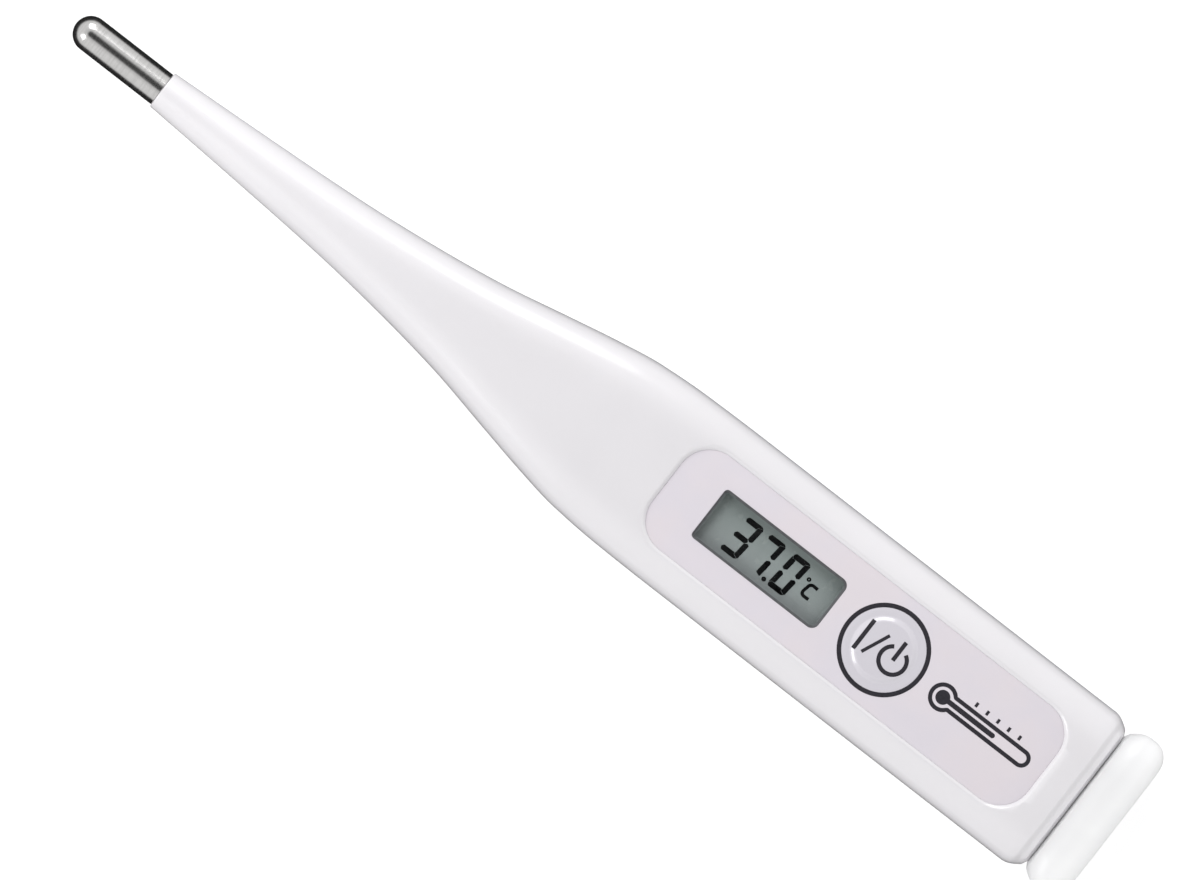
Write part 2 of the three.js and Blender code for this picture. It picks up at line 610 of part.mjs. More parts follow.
function switchPlunger() {
  const { foot, footZ, radius, topZ, chamfer } = PLUNGER;
  return turnedAboutZ([
    [0, footZ[0]], [foot, footZ[0]], [foot, footZ[1]], [radius, footZ[1]],
    [radius, topZ - chamfer], [radius - chamfer, topZ], [0, topZ],
  ], KEY_X, 0, 20);
}

// ---------------------------------------------------------------- battery and contacts
function batteryCan() {
  const { x, radius, z0, z1, wall, edge } = BATTERY;
  return turnedAboutZ([
    [0, z1 - wall], [radius - wall, z1 - wall], [radius - wall, z0 + wall], [radius, z0 + wall],
    [radius, z1 - edge], [radius - edge, z1], [0, z1],
  ], x, 0, 32);
}

function batteryGasket() {
  const { x, radius, z0, wall, seal, sealHeight } = BATTERY;
  const [inner, outer] = [radius - wall - seal, radius - wall - CLEAR];
  const [low, high] = [z0 + wall, z0 + wall + sealHeight];
  return turnedAboutZ([[inner, low], [outer, low], [outer, high], [inner, high], [inner, low]],
    x, 0, 28);
}

function batteryBase() {
  const { x, radius, z0, z1, wall, edge, seal } = BATTERY;
  const [outer, top] = [radius - wall - seal - CLEAR, z1 - wall - CLEAR];
  return turnedAboutZ([[0, z0], [outer - edge, z0], [outer, z0 + edge], [outer, top], [0, top]],
    x, 0, 28);
}

const contactStrip = (points) => bentStrip(points, STRIP.thick, 0, STRIP.width);

// ---------------------------------------------------------------- buzzer
const buzzerPlate = () => post(BUZZER.x, 0, BUZZER.plateRadius, ...BUZZER.plateZ, 32);
const buzzerCeramic = () => post(BUZZER.x, 0, BUZZER.ceramicRadius, ...BUZZER.ceramicZ, 28);

// Lead from the disc up to the board's underside, bowed to one side.
function buzzerLead(x, footZ) {
  const { radius, bow, lift, landGap } = BUZZER_LEAD;
  const [foot, top] = [footZ + lift, BOARD.z0 - landGap];
  const points = [[x, foot], [x + bow, foot + bow / 2], [x + bow / 3, top - bow], [x, top]];
  return wire(points.map(([px, z]) => new THREE.Vector3(px, 0, z)), radius, 10);
}

// ---------------------------------------------------------------- battery cap
const PLUG_SEGMENTS = 32;

const plugRing = (x0, x1, inset) => plug(x0, x1, MID_Z, CAVITY.halfWidth - inset,
  CAVITY.halfHeight - inset, CAVITY.power, PLUG_SEGMENTS);

// Core that runs through the seal's groove and past it on both sides.
const sealSeat = (inset) => plugRing(SEAL.x[0] - PAST, SEAL.x[1] + PAST, inset);

function batteryCap() {
  const [roundLength, roundSide, roundTop] = CAP_END_ROUND;
  const flareEnd = CAP_START_X + BEVEL_LENGTH;
  const roundStart = LENGTH - roundLength;
  const stations = [
    ...spread(CAP_START_X, flareEnd, 4), roundStart,
    ...spread(0, Math.PI / 2, 4).slice(1).map((a) => roundStart + roundLength * Math.sin(a)),
  ];
  const outer = loft(stations.map((x) => {
    const flare = bevelShare((x - CAP_START_X) / BEVEL_LENGTH);
    const v = THREE.MathUtils.clamp((x - roundStart) / roundLength, 0, 1);
    const round = 1 - Math.sqrt(1 - v * v);
    const halfWidth = CAP_HALF_WIDTH - flare * CAP_BEVEL[0] - round * roundSide;
    const up = CAP_HALF_HEIGHT - flare * CAP_BEVEL[1] - round * roundTop;
    const down = CAP_HALF_HEIGHT * FOOT_FACTOR - flare * CAP_BEVEL[1] - round * roundTop;
    return section(x, CAP_MID_Z, halfWidth, up, down, BODY_POWER, 36);
  }));
  const hollow = plug(PLUG.x0 - PAST, PLUG.hollowX1, MID_Z, ...PLUG.hollowHalf, CAVITY.power, 28);
  const groove = carve(plugRing(...SEAL.x, -PAST), { cut: [sealSeat(PLUG.gap + SEAL.depth)] });
  return carve(outer, {
    join: [plugRing(PLUG.x0, CAP_START_X + EMBED, PLUG.gap)],
    cut: [groove, hollow],
  });
}

function capSeal() {
  const outside = plugRing(SEAL.x[0] + SEAL.gap, SEAL.x[1] - SEAL.gap, SEAL.squeeze);
  return carve(outside, { cut: [sealSeat(PLUG.gap + SEAL.depth - SEAL.seat)] });
}

// ---------------------------------------------------------------- assembly
add('housing', housing(), material.shell);
add('probe_tip', steelTip(), material.steel);
add('tip_epoxy', tipEpoxy(), material.epoxy);
add('thermistor_bead', thermistorBead(), material.bead);
add('thermistor_lead_1', probeLead(1), material.leadRed);
add('thermistor_lead_2', probeLead(-1), material.leadGreen);
add('overlay_film', overlayFilm(), material.panel);
add('panel_adhesive', panelAdhesive(), material.adhesive);
add('display_lens', displayLens(), material.lens);
add('power_key', powerKey(), material.key);

add('chassis', chassis(), material.chassis);
add('circuit_board', circuitBoard(), material.board);
add('chip_glob_top', chipGlobTop(), material.black);
CAPACITOR_YS.forEach((y, i) => add(`capacitor_${i + 1}`, chipPart(y), material.ceramicChip));
RESISTOR_YS.forEach((y, i) => add(`resistor_${i + 1}`, chipPart(y), material.resistor));

add('lcd_front_polariser', cellLayer(CELL.polariser), material.polariser);
add('lcd_front_glass', cellLayer(CELL.front), material.glass);
add('lcd_rear_glass', cellLayer(CELL.rear), material.glass);
add('lcd_reflector', cellLayer(CELL.reflector), material.reflector);
add('zebra_connector_1', zebraStrip(1), material.zebra);
add('zebra_connector_2', zebraStrip(-1), material.zebra);
add('display_frame', displayFrame(), material.chassis);

add('switch_base', switchBase(), material.black);
add('switch_cover', switchCover(), material.nickel);
add('switch_dome', switchDome(), material.nickel);
add('switch_plunger', switchPlunger(), material.black);

add('battery_can', batteryCan(), material.nickel);
add('battery_gasket', batteryGasket(), material.gasket);
add('battery_base', batteryBase(), material.nickel);
add('battery_contact_positive', contactStrip(POSITIVE_STRIP), material.bronze);
add('battery_contact_negative', contactStrip(NEGATIVE_STRIP), material.bronze);

add('buzzer_plate', buzzerPlate(), material.brass);
add('buzzer_ceramic', buzzerCeramic(), material.piezo);
add('buzzer_lead_1', buzzerLead(BUZZER_LEAD.xs[0], BUZZER.ceramicZ[1]), material.leadRed);
add('buzzer_lead_2', buzzerLead(BUZZER_LEAD.xs[1], BUZZER.plateZ[1]), material.leadGreen);

add('battery_cap', batteryCap(), material.cap);
add('cap_seal', capSeal(), material.rubber);

export default part;
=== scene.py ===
"""The looks of a pen-type digital thermometer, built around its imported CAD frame.

Everything is in the CAD's own frame: +X from the steel tip to the end cap, +Z up, out of the
display. Meshes are worked out in millimetres, with x counted from the probe's tip, and turned
into metres in one place, Skin.object().
"""
import math

import bpy
import numpy as np
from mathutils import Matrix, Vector


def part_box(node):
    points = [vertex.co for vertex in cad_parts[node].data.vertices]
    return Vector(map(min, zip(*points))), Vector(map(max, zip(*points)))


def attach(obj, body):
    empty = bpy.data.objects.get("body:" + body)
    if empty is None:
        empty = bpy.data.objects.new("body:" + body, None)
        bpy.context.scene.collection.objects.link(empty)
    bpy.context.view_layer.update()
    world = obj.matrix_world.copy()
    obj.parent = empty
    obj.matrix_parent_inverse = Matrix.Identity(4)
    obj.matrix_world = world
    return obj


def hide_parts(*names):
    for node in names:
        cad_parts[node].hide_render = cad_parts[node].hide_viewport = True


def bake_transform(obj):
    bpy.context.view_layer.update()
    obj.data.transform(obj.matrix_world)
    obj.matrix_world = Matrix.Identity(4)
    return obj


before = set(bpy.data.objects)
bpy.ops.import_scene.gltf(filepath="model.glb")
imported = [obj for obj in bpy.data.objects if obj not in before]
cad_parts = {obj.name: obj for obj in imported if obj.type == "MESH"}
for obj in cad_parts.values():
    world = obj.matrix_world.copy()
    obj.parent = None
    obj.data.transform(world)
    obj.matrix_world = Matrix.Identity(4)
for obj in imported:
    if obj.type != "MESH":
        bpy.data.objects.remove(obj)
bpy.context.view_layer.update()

MM = 0.001
TIP_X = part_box("probe_tip")[0].x


def span(node):
    """A CAD node's lowest and highest corner in millimetres, with x counted from the tip."""
    low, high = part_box(node)
    shift = Vector((TIP_X, 0, 0))
    return (low - shift) / MM, (high - shift) / MM


# ---- sizes
STEEL_REAR = span("probe_tip")[1].x
STEEL_RADIUS = span("probe_tip")[1].y
MID_Z = (span("probe_tip")[0].z + span("probe_tip")[1].z) / 2
SPIGOT_X = span("housing")[0].x
SEAM_X = span("housing")[1].x
CAP_END_X = span("battery_cap")[1].x
CAP_MID_Z = 5.0
PLUG_X = span("battery_cap")[0].x
PANEL_LOW, PANEL_HIGH = span("overlay_film")
WINDOW_X = sum(c.x for c in span("display_lens")) / 2
WINDOW_Y = sum(c.y for c in span("display_lens")) / 2
GLASS_Z = span("lcd_front_polariser")[1].z
KEY_LOW, KEY_HIGH = span("power_key")
KEY_X = (KEY_LOW.x + KEY_HIGH.x) / 2

NOSE_X = STEEL_REAR + 0.02
HALF_WIDTHS = [
    (NOSE_X, 2.07), (21.3, 2.66), (33.3, 3.46), (41.3, 4.3), (49.3, 5.45), (57.3, 7.1),
    (62.3, 8.12), (67.3, 8.93), (73, 9.27), (80, 9.35), (SEAM_X, 9.35),
]
HALF_HEIGHTS = [
    (NOSE_X, 2.07), (21.3, 2.5), (33.3, 2.95), (45, 3.5), (57.3, 4.25), (67.3, 4.72),
    (80, 4.85), (SEAM_X, 4.85),
]
ROUND_POWER, BODY_POWER = 2.0, 3.8
POWER_RAMP = (20, 78)
FOOT_FACTOR = 1.062
# Stretch in mm from the tip over which the neck's painted light fades into the body's own tone.
PAINTED_LIGHT_NECK = (10, 62)
AROUND = 144
SHARP = math.radians(35)
INK = 0.012
ACROSS = 5


def through(points):
    """Smooth curve through (x, value) points that never overshoots them."""
    xs, vs = (np.array(c, float) for c in zip(*points))
    slopes = np.diff(vs) / np.diff(xs)
    tangents = np.concatenate([slopes[:1], np.zeros(len(xs) - 2), slopes[-1:]])
    for i in range(1, len(xs) - 1):
        left, right = slopes[i - 1], slopes[i]
        if left * right > 0:
            tangents[i] = 2 * left * right / (left + right)

    def value(x):
        k = int(np.clip(np.searchsorted(xs, x, side="right") - 1, 0, len(xs) - 2))
        gap = xs[k + 1] - xs[k]
        t = np.clip((x - xs[k]) / gap, 0, 1)
        return (vs[k] * (1 + 2 * t) * (1 - t) ** 2 + vs[k + 1] * t * t * (3 - 2 * t)
                + gap * t * (1 - t) * (tangents[k] * (1 - t) - tangents[k + 1] * t))

    return value


half_width = through(HALF_WIDTHS)
half_height = through(HALF_HEIGHTS)


def smoothstep(x, low, high):
    t = min(max((x - low) / (high - low), 0), 1)
    return t * t * (3 - 2 * t)


def power_at(x):
    return ROUND_POWER + (BODY_POWER - ROUND_POWER) * smoothstep(x, *POWER_RAMP)


def housing_top(x, y):
    """Height of the housing's upper surface, before anything is cut into it."""
    power = power_at(x)
    share = min(abs(y) / half_width(x), 1)
    return MID_Z + half_height(x) * (1 - share ** power) ** (1 / power)


def quarter_turn(steps, first=0.0, last=90.0):
    """Cosine and sine at even steps through part of a quarter turn."""
    angles = np.radians(np.linspace(first, last, steps + 1))
    return list(zip(np.cos(angles), np.sin(angles)))


# ---- meshes
def new_object(name, data):
    made = bpy.data.objects.new(name, data)
    bpy.context.scene.collection.objects.link(made)
    return made


class Skin:
    """A mesh in the making: rows of points in millimetres, and the faces between them."""

    def __init__(self):
        self.points, self.faces = [], []

    def add(self, points):
        start = len(self.points)
        self.points += [tuple(float(v) for v in p) for p in points]
        return list(range(start, len(self.points)))

    def bridge(self, a, b):
        """Quads between two closed rows with the same number of points."""
        for i in range(len(a)):
            j = (i + 1) % len(a)
            self.faces.append((a[i], a[j], b[j], b[i]))

    def loft(self, rings, looped=False):
        """Closed solid through rings: capped at both ends, or joined back to its start."""
        rows = [self.add(r) for r in rings]
        for a, b in zip(rows, rows[1:]):
            self.bridge(a, b)
        if looped:
            self.bridge(rows[-1], rows[0])
        else:
            self.faces += [tuple(rows[0][::-1]), tuple(rows[-1])]
        return self

    def object(self, name, flat=False):
        mesh = bpy.data.meshes.new(name)
        placed = [(TIP_X + x * MM, y * MM, z * MM) for x, y, z in self.points]
        mesh.from_pydata(placed, [], self.faces)
        face_outward(mesh)
        if not flat:
            smooth(mesh)
        return new_object(name, mesh)


def face_outward(mesh):
    """Turns every face round if the mesh encloses a negative volume."""
    mesh.calc_loop_triangles()
    co = np.zeros(len(mesh.vertices) * 3)
    mesh.vertices.foreach_get("co", co)
    tri = np.zeros(len(mesh.loop_triangles) * 3, int)
    mesh.loop_triangles.foreach_get("vertices", tri)
    a, b, c = (co.reshape(-1, 3)[tri.reshape(-1, 3)[:, k]] for k in range(3))
    if (a * np.cross(b, c)).sum() < 0:
        mesh.flip_normals()


def smooth(mesh):
    mesh.polygons.foreach_set("use_smooth", [True] * len(mesh.polygons))
    mesh.set_sharp_from_angle(angle=SHARP)


def apply_modifiers(piece):
    """The piece's mesh with its modifiers worked in, and none left on it."""
    graph = bpy.context.evaluated_depsgraph_get()
    mesh = bpy.data.meshes.new_from_object(piece.evaluated_get(graph))
    piece.modifiers.clear()
    piece.data = mesh


def cut(piece, *cutters):
    for cutter in cutters:
        modifier = piece.modifiers.new("cut", "BOOLEAN")
        modifier.operation = "DIFFERENCE"
        modifier.solver = "EXACT"
        modifier.object = cutter
    apply_modifiers(piece)
    for cutter in cutters:
        bpy.data.objects.remove(cutter)
    smooth(piece.data)
    return piece


def round_edges(piece, width):
    """Rounds a piece's sharp edges by a width in millimetres, and keeps its flats flat."""
    weld = piece.modifiers.new("weld", "WELD")
    weld.merge_threshold = 0.002 * MM
    bevel = piece.modifiers.new("edges", "BEVEL")
    bevel.width = width * MM
    bevel.segments = 3
    bevel.limit_method = "ANGLE"
    bevel.angle_limit = math.radians(30)
    bevel.harden_normals = True
    bevel.use_clamp_overlap = True


def section(x, mid_z, width, up, down, power, count=AROUND):
    """Ring of points round the probe's axis: a superellipse, cut off flat at z = 0."""
    turn = 2 * np.pi * (np.arange(count) + 0.5) / count
    across, rise = np.cos(turn), np.sin(turn)
    reach = (np.abs(across) ** power + np.abs(rise) ** power) ** (-1 / power)
    z = mid_z + rise * reach * np.where(rise > 0, up, down)
    return np.column_stack([np.full(count, x), width * across * reach, np.maximum(z, 0)])


def disc(x, radius, count=AROUND):
    return section(x, MID_Z, radius, radius, radius, 2, count)


def turned(profile, count=96, x=0.0, y=0.0):
    """Rings round a vertical line, from a profile of (radius, z) points."""
    turn = 2 * np.pi * np.arange(count) / count
    return [np.column_stack([x + r * np.cos(turn), y + r * np.sin(turn), np.full(count, z)])
            for r, z in profile]


def rounded_rectangle(x, y, length, width, corner, per_corner=14, per_side=1):
    """Points round a rounded rectangle; corner is one radius, or four from (+, -) round."""
    corners = [corner] * 4 if np.isscalar(corner) else list(corner)
    centres = [(1, -1), (1, 1), (-1, 1), (-1, -1)]
    points = []
    for k, ((sx, sy), r) in enumerate(zip(centres, corners)):
        cx, cy = x + sx * (length / 2 - r), y + sy * (width / 2 - r)
        for a in np.radians(np.linspace(-90, 0, per_corner + 1) + 90 * k):
            points.append((cx + r * math.cos(a), cy + r * math.sin(a)))
    if per_side == 1:
        return points
    dense = []
    for i, (a, b) in enumerate(zip(points, points[1:] + points[:1])):
        pieces = per_side if (i + 1) % (per_corner + 1) == 0 else 1
        dense += [tuple(np.array(a) + (np.array(b) - a) * t / pieces) for t in range(pieces)]
    return dense


def prism(skin, outline, z0, z1):
    """Adds a flat plate with a plain edge, from its outline in plan."""
    return skin.loft([[(x, y, z) for x, y in outline] for z in (z0, z1)])


def ring_plate(skin, outer, inner, z0, z1):
    """Adds a flat frame between two outlines of equal count."""
    def at(outline, z):
        return [(x, y, z) for x, y in outline]

    return skin.loft([at(inner, z0), at(outer, z0), at(outer, z1), at(inner, z1)], looped=True)


def ribbon(skin, path, width, height_at, thick=0.03, closed=False):
    """Adds a printed line: a thin strip along a path in plan, laid on a curved surface."""
    path = [np.array(p, float) for p in path]
    rings = []
    for i, p in enumerate(path):
        if closed:
            before, after = path[i - 1], path[(i + 1) % len(path)]
        else:
            before, after = path[max(i - 1, 0)], path[min(i + 1, len(path) - 1)]
        along = (after - before) / np.linalg.norm(after - before)
        side = np.array([-along[1], along[0]]) * width / 2
        across = [p + side * t for t in np.linspace(1, -1, ACROSS)]
        rings.append([(*q, height_at(*q) - thick) for q in across]
                     + [(*q, height_at(*q) + INK) for q in across[::-1]])
    return skin.loft(rings, looped=closed)


def line(a, b, steps=12):
    return [tuple(np.array(a) + (np.array(b) - np.array(a)) * t) for t in np.linspace(0, 1, steps)]


def arc(x, y, radius, start, stop, steps=48):
    return [(x + radius * math.cos(a), y + radius * math.sin(a))
            for a in np.radians(np.linspace(start, stop, steps))]


def circle(x, y, radius, count=96):
    return arc(x, y, radius, 0, 360 - 360 / count, count)


# ---- materials
def linear(red, green, blue):
    """Linear colour from display values of 0 to 255."""
    def one(v):
        v /= 255
        return v / 12.92 if v <= 0.04045 else ((v + 0.055) / 1.055) ** 2.4

    return tuple(one(v) for v in (red, green, blue))


class Nodes:
    """Builds shader nodes in one tree. Colours are given as display values of 0 to 255."""

    def __init__(self, tree):
        self.tree = tree

    def feed(self, socket, value):
        """Links an output to a socket, or gives the socket a number, a vector or a colour."""
        if isinstance(value, bpy.types.NodeSocket):
            self.tree.links.new(value, socket)
        elif socket.type == "RGBA":
            socket.default_value = (*linear(*value), 1)
        else:
            socket.default_value = value

    def node(self, kind, inputs, **settings):
        """Makes a node, and returns its outputs."""
        made = self.tree.nodes.new("ShaderNode" + kind)
        for key, value in settings.items():
            setattr(made, key, value)
        for socket, value in inputs.items():
            self.feed(made.inputs[socket], value)
        return made.outputs

    def ramp(self, value, stops):
        """Colour ramp over a pattern: stops are (place, linear colour)."""
        made = self.tree.nodes.new("ShaderNodeValToRGB")
        elements = made.color_ramp.elements
        while len(elements) < len(stops):
            elements.new(0.5)
        for element, (place, colour) in zip(elements, stops):
            element.position = place
            element.color = (*colour, 1)
        self.feed(made.inputs["Fac"], value)
        return made.outputs["Color"]


class Look(Nodes):
    """A procedural material: a principled shader with nodes that vary it over the surface."""

    def __init__(self, name, roughness=0.5, metallic=0.0, **sockets):
        self.material = bpy.data.materials.new(name)
        self.material.use_nodes = True
        super().__init__(self.material.node_tree)
        self.shader = self.tree.nodes["Principled BSDF"].inputs
        self.shader["Roughness"].default_value = roughness
        self.shader["Metallic"].default_value = metallic
        for socket, value in sockets.items():
            self.shader[socket.replace("_", " ")].default_value = value
        metres = self.node("TexCoord", {})["Object"]
        self.place = self.node("Mapping", {"Scale": (1 / MM,) * 3, "Vector": metres})["Vector"]

    def stretched(self, x=1.0, y=1.0, z=1.0):
        """Surface coordinates in millimetres, with each axis scaled."""
        return self.node("Mapping", {"Scale": (x, y, z), "Vector": self.place})["Vector"]

    def noise(self, per_mm, detail=3.0, roughness=0.5, at=None):
        return self.node("TexNoise", {"Scale": per_mm, "Detail": detail, "Roughness": roughness,
                                      "Vector": at or self.place})["Fac"]

    def cells(self, per_mm):
        return self.node("TexVoronoi", {"Scale": per_mm, "Vector": self.place})["Distance"]

    def bands(self, per_mm, distortion, at=None, **kind):
        return self.node("TexWave", {"Scale": per_mm / 2, "Distortion": distortion,
                                     "Vector": at or self.place}, **kind)["Fac"]

    def spread(self, value, low, high, start=0.35, stop=0.65):
        """Stretches a pattern's middle range to run from low to high."""
        return self.node("MapRange", {"From Min": start, "From Max": stop, "To Min": low,
                                      "To Max": high, "Value": value})["Result"]

    def coordinate(self, axis):
        return self.node("SeparateXYZ", {"Vector": self.place})[axis]

    def blend(self, value, *stops):
        """Colour ramp over a pattern: stops are (place, colour)."""
        return self.ramp(value, [(place, linear(*colour)) for place, colour in stops])

    def mix(self, value, base, other):
        """A colour that goes from one to the other with a pattern; the other may be plain."""
        return self.node("Mix", {0: value, 6: base, 7: other}, data_type="RGBA")[2]

    def colour(self, value, *stops):
        """Base colour: an output as it is, or a ramp over a pattern."""
        self.feed(self.shader["Base Color"], self.blend(value, *stops) if stops else value)

    def rough(self, value, low, high):
        self.feed(self.shader["Roughness"], self.spread(value, low, high))

    def bump(self, value, depth_mm):
        """Raises the surface by a pattern; a second call adds to the first."""
        inputs = {"Strength": 1, "Distance": depth_mm * MM, "Height": value}
        if self.shader["Normal"].links:
            inputs["Normal"] = self.shader["Normal"].links[0].from_socket
        self.feed(self.shader["Normal"], self.node("Bump", inputs)["Normal"])


def moulded_plastic(name, light, dark, roughness, texture=0.0008, **sockets):
    """Moulded plastic: faint drifting tone, fine eggshell texture and uneven gloss."""
    look = Look(name, roughness, **sockets)
    drift = look.noise(0.06, 2)
    grain = look.noise(6, 3, 0.5)
    tone = look.blend(drift, (0.35, dark), (0.65, light))
    look.colour(look.mix(look.spread(grain, 0, 0.12), tone, dark))
    look.rough(look.noise(0.25, 3), roughness - 0.03, roughness + 0.03)
    look.bump(grain, texture)
    look.bump(look.noise(0.12, 2), 0.008)
    return look


def abs_white():
    """The housing's plastic, painted a shade paler along the narrow neck: a painted light."""
    look = Look(
        "abs_white", 0.3, Subsurface_Weight=0.1, Subsurface_Radius=(1.0, 0.95, 0.9),
        Subsurface_Scale=0.5 * MM, Coat_Weight=1.0, Coat_Roughness=0.2,
    )
    drift = look.noise(0.06, 2)
    broad = look.blend(drift, (0.35, (219, 217, 220)), (0.65, (222, 220, 223)))
    # Painted light: a paler copy of the body's tone, laid on the neck.
    painted_light_neck_tone = look.blend(drift, (0.35, (227, 225, 228)), (0.65, (230, 228, 231)))
    start, stop = (TIP_X / MM + x for x in PAINTED_LIGHT_NECK)
    tone = look.mix(look.spread(look.coordinate("X"), 0, 1, start, stop), painted_light_neck_tone, broad)
    look.colour(look.mix(look.spread(look.noise(1.2, 2), 0, 0.06), tone, (214, 212, 215)))
    look.rough(look.noise(0.2, 2), 0.28, 0.32)
    look.bump(look.noise(3, 2), 0.0004)
    look.bump(look.noise(0.12, 2), 0.008)
    return look


def polypropylene():
    """Translucent cap: cloudy, with flow marks from the gate, with a painted shade near the seam and
    painted light towards its end.
    """
    look = Look(
        "polypropylene", 0.36, Subsurface_Weight=0.8, Subsurface_Radius=(1.0, 1.0, 1.0),
        Subsurface_Scale=3 * MM, Transmission_Weight=0.03, IOR=1.49,
    )
    cloud = look.noise(0.15, 2)
    flow = look.noise(0.5, 2, at=look.stretched(0.25, 1, 1))
    # Painted light: solid is a painted shade near the seam and hollow a painted light towards the
    # cap's end, blended along x below.
    solid = look.blend(cloud, (0.3, (218, 218, 219)), (0.7, (222, 222, 223)))
    hollow = look.blend(cloud, (0.3, (238, 238, 239)), (0.7, (243, 243, 243)))
    start, stop = (TIP_X / MM + x for x in (SEAM_X + 0.2, CAP_END_X - 1.4))
    base = look.mix(look.spread(look.coordinate("X"), 0, 1, start, stop), solid, hollow)
    look.colour(look.mix(look.spread(flow, 0, 0.08), base, (216, 216, 217)))
    look.rough(cloud, 0.32, 0.4)
    look.bump(look.noise(6, 3, 0.5), 0.0008)
    look.bump(flow, 0.004)
    return look


def printed_film():
    """Panel film: pale lilac ink seen through fine velvet-textured polycarbonate."""
    look = Look("printed_film", 0.34, Coat_Weight=0.25, Coat_Roughness=0.25)
    mottle = look.noise(0.16, 3, 0.5)
    dots = look.cells(7)
    tone = look.blend(
        mottle, (0.36, (212, 207, 214)), (0.5, (214, 208, 214)), (0.64, (215, 208, 213)))
    look.colour(look.mix(look.spread(dots, 0, 0.06, 0.1, 0.6), tone, (202, 196, 205)))
    look.rough(look.noise(0.6, 3), 0.31, 0.37)
    look.bump(look.noise(9, 2, 0.5), 0.0006)
    return look


def key_plastic():
    return moulded_plastic(
        "key_plastic", (206, 203, 210), (202, 199, 206), 0.24, 0.0005,
        Coat_Weight=1.0, Coat_Roughness=0.1,
    )


def ink():
    """Screen-printed ink, slightly uneven in cover."""
    look = Look("ink", 0.6, Specular_IOR_Level=0.25)
    cover = look.noise(4, 3, 0.5)
    look.colour(cover, (0.3, (34, 32, 38)), (0.75, (44, 42, 49)))
    look.rough(look.noise(7, 3), 0.5, 0.68)
    look.bump(look.noise(12, 2), 0.0006)
    return look


def border_print_and_painted_shadow():
    """Grey line printed round the window, which also serves as a painted shadow of the window's edge;
    a little darker in places.
    """
    look = Look("border_print_and_painted_shadow", 0.5, Specular_IOR_Level=0.3)
    cover = look.noise(2, 3)
    look.colour(cover, (0.3, (92, 94, 96)), (0.7, (104, 106, 108)))
    look.rough(look.noise(5, 2), 0.44, 0.56)
    return look


def polished_steel():
    """Drawn stainless steel: turning lines round the tube and a few fine scratches."""
    look = Look("polished_steel", 0.2, 1.0)
    rings = look.noise(2.5, 3, 0.6, at=look.stretched(3, 0.12, 0.12))
    scratches = look.noise(1.4, 6, 0.75, at=look.stretched(0.3, 4, 4))
    base = look.blend(rings, (0.35, (194, 193, 192)), (0.65, (205, 204, 203)))
    look.colour(look.mix(look.spread(scratches, 0, 0.25, 0.55, 0.7), base, (180, 179, 178)))
    look.rough(rings, 0.17, 0.24)
    look.bump(rings, 0.0006)
    look.bump(scratches, 0.0004)
    return look


def clear_acrylic():
    """Clear window: nearly invisible from the front, mirror-like at a glancing angle."""
    look = Look("clear_acrylic", 0.04, Specular_IOR_Level=0.5)
    smudge = look.noise(0.4, 4, 0.6)
    look.colour(smudge, (0.3, (89, 93.2, 93.2)), (0.7, (111.3, 114.6, 114.6)))
    facing = look.node("LayerWeight", {"Blend": 0.5})["Facing"]
    glance = look.node("Math", {0: facing, 1: 5}, operation="POWER")[0]
    film = look.spread(smudge, 0.0, 0.03)
    cover = look.node("Math", {0: glance, 1: 0.9, 2: film}, operation="MULTIPLY_ADD", use_clamp=True)
    look.feed(look.shader["Alpha"], cover[0])
    look.rough(smudge, 0.03, 0.08)
    return look


def display_face():
    """Front polariser of the display: grey-green, with painted light, lighter towards -Y and darker
    towards +Y.
    """
    look = Look("display_face", 0.22, Coat_Weight=0.3, Coat_Roughness=0.05)
    grain = look.noise(10, 3, 0.5)
    across = look.coordinate("Y")
    # Painted light and shade: darker towards +Y, where the window's edge shades the face, lighter
    # towards -Y.
    painted_light_across = look.node("Math", {0: across, 1: -0.09, 2: 0.5}, operation="MULTIPLY_ADD")[0]
    base = look.blend(
        painted_light_across, (0.2, (136, 146, 144)), (0.55, (144, 152, 151)),
        (0.85, (152, 157, 159)),
    )
    look.colour(look.mix(look.spread(grain, 0, 0.12), base, (134, 142, 141)))
    look.rough(look.noise(0.8, 3), 0.18, 0.28)
    look.bump(grain, 0.0006)
    return look


def display_ink():
    """Switched-on segments: nearly black, a little uneven in tone."""
    look = Look("display_ink", 0.4, Specular_IOR_Level=0.1)
    cover = look.noise(6, 3)
    look.colour(cover, (0.3, (5, 6, 7)), (0.7, (12, 13, 14)))
    look.rough(cover, 0.24, 0.36)
    return look


def solder_mask():
    """Green board: copper tracks show as lighter bands under the mask, with weave below."""
    look = Look("solder_mask", 0.3, Coat_Weight=0.5, Coat_Roughness=0.12)
    tracks = look.node(
        "TexBrick", {"Scale": 0.55, "Mortar Size": 0.09, "Mortar Smooth": 0.1, "Brick Width": 0.9,
                     "Row Height": 0.42, "Vector": look.place},
        offset=0.35, squash=0.6, squash_frequency=3)["Fac"]
    weave = look.noise(4, 2, at=look.stretched(1, 6, 1))
    base = look.blend(weave, (0.35, (24, 92, 58)), (0.65, (30, 104, 66)))
    look.colour(look.mix(tracks, base, (62, 140, 88)))
    look.rough(look.noise(1.5, 3), 0.22, 0.36)
    look.bump(tracks, 0.02)
    look.bump(weave, 0.003)
    return look


def metal(name, light, dark, roughness):
    """Sheet metal with rolling lines along X and blotchy gloss."""
    look = Look(name, roughness, 1.0)
    lines = look.noise(3, 4, 0.7, at=look.stretched(0.15, 3, 3))
    blotch = look.noise(0.6, 4)
    base = look.blend(lines, (0.35, dark), (0.65, light))
    look.colour(look.mix(look.spread(blotch, 0, 0.35), base, dark))
    look.rough(blotch, roughness - 0.06, roughness + 0.08)
    look.bump(lines, 0.0015)
    return look


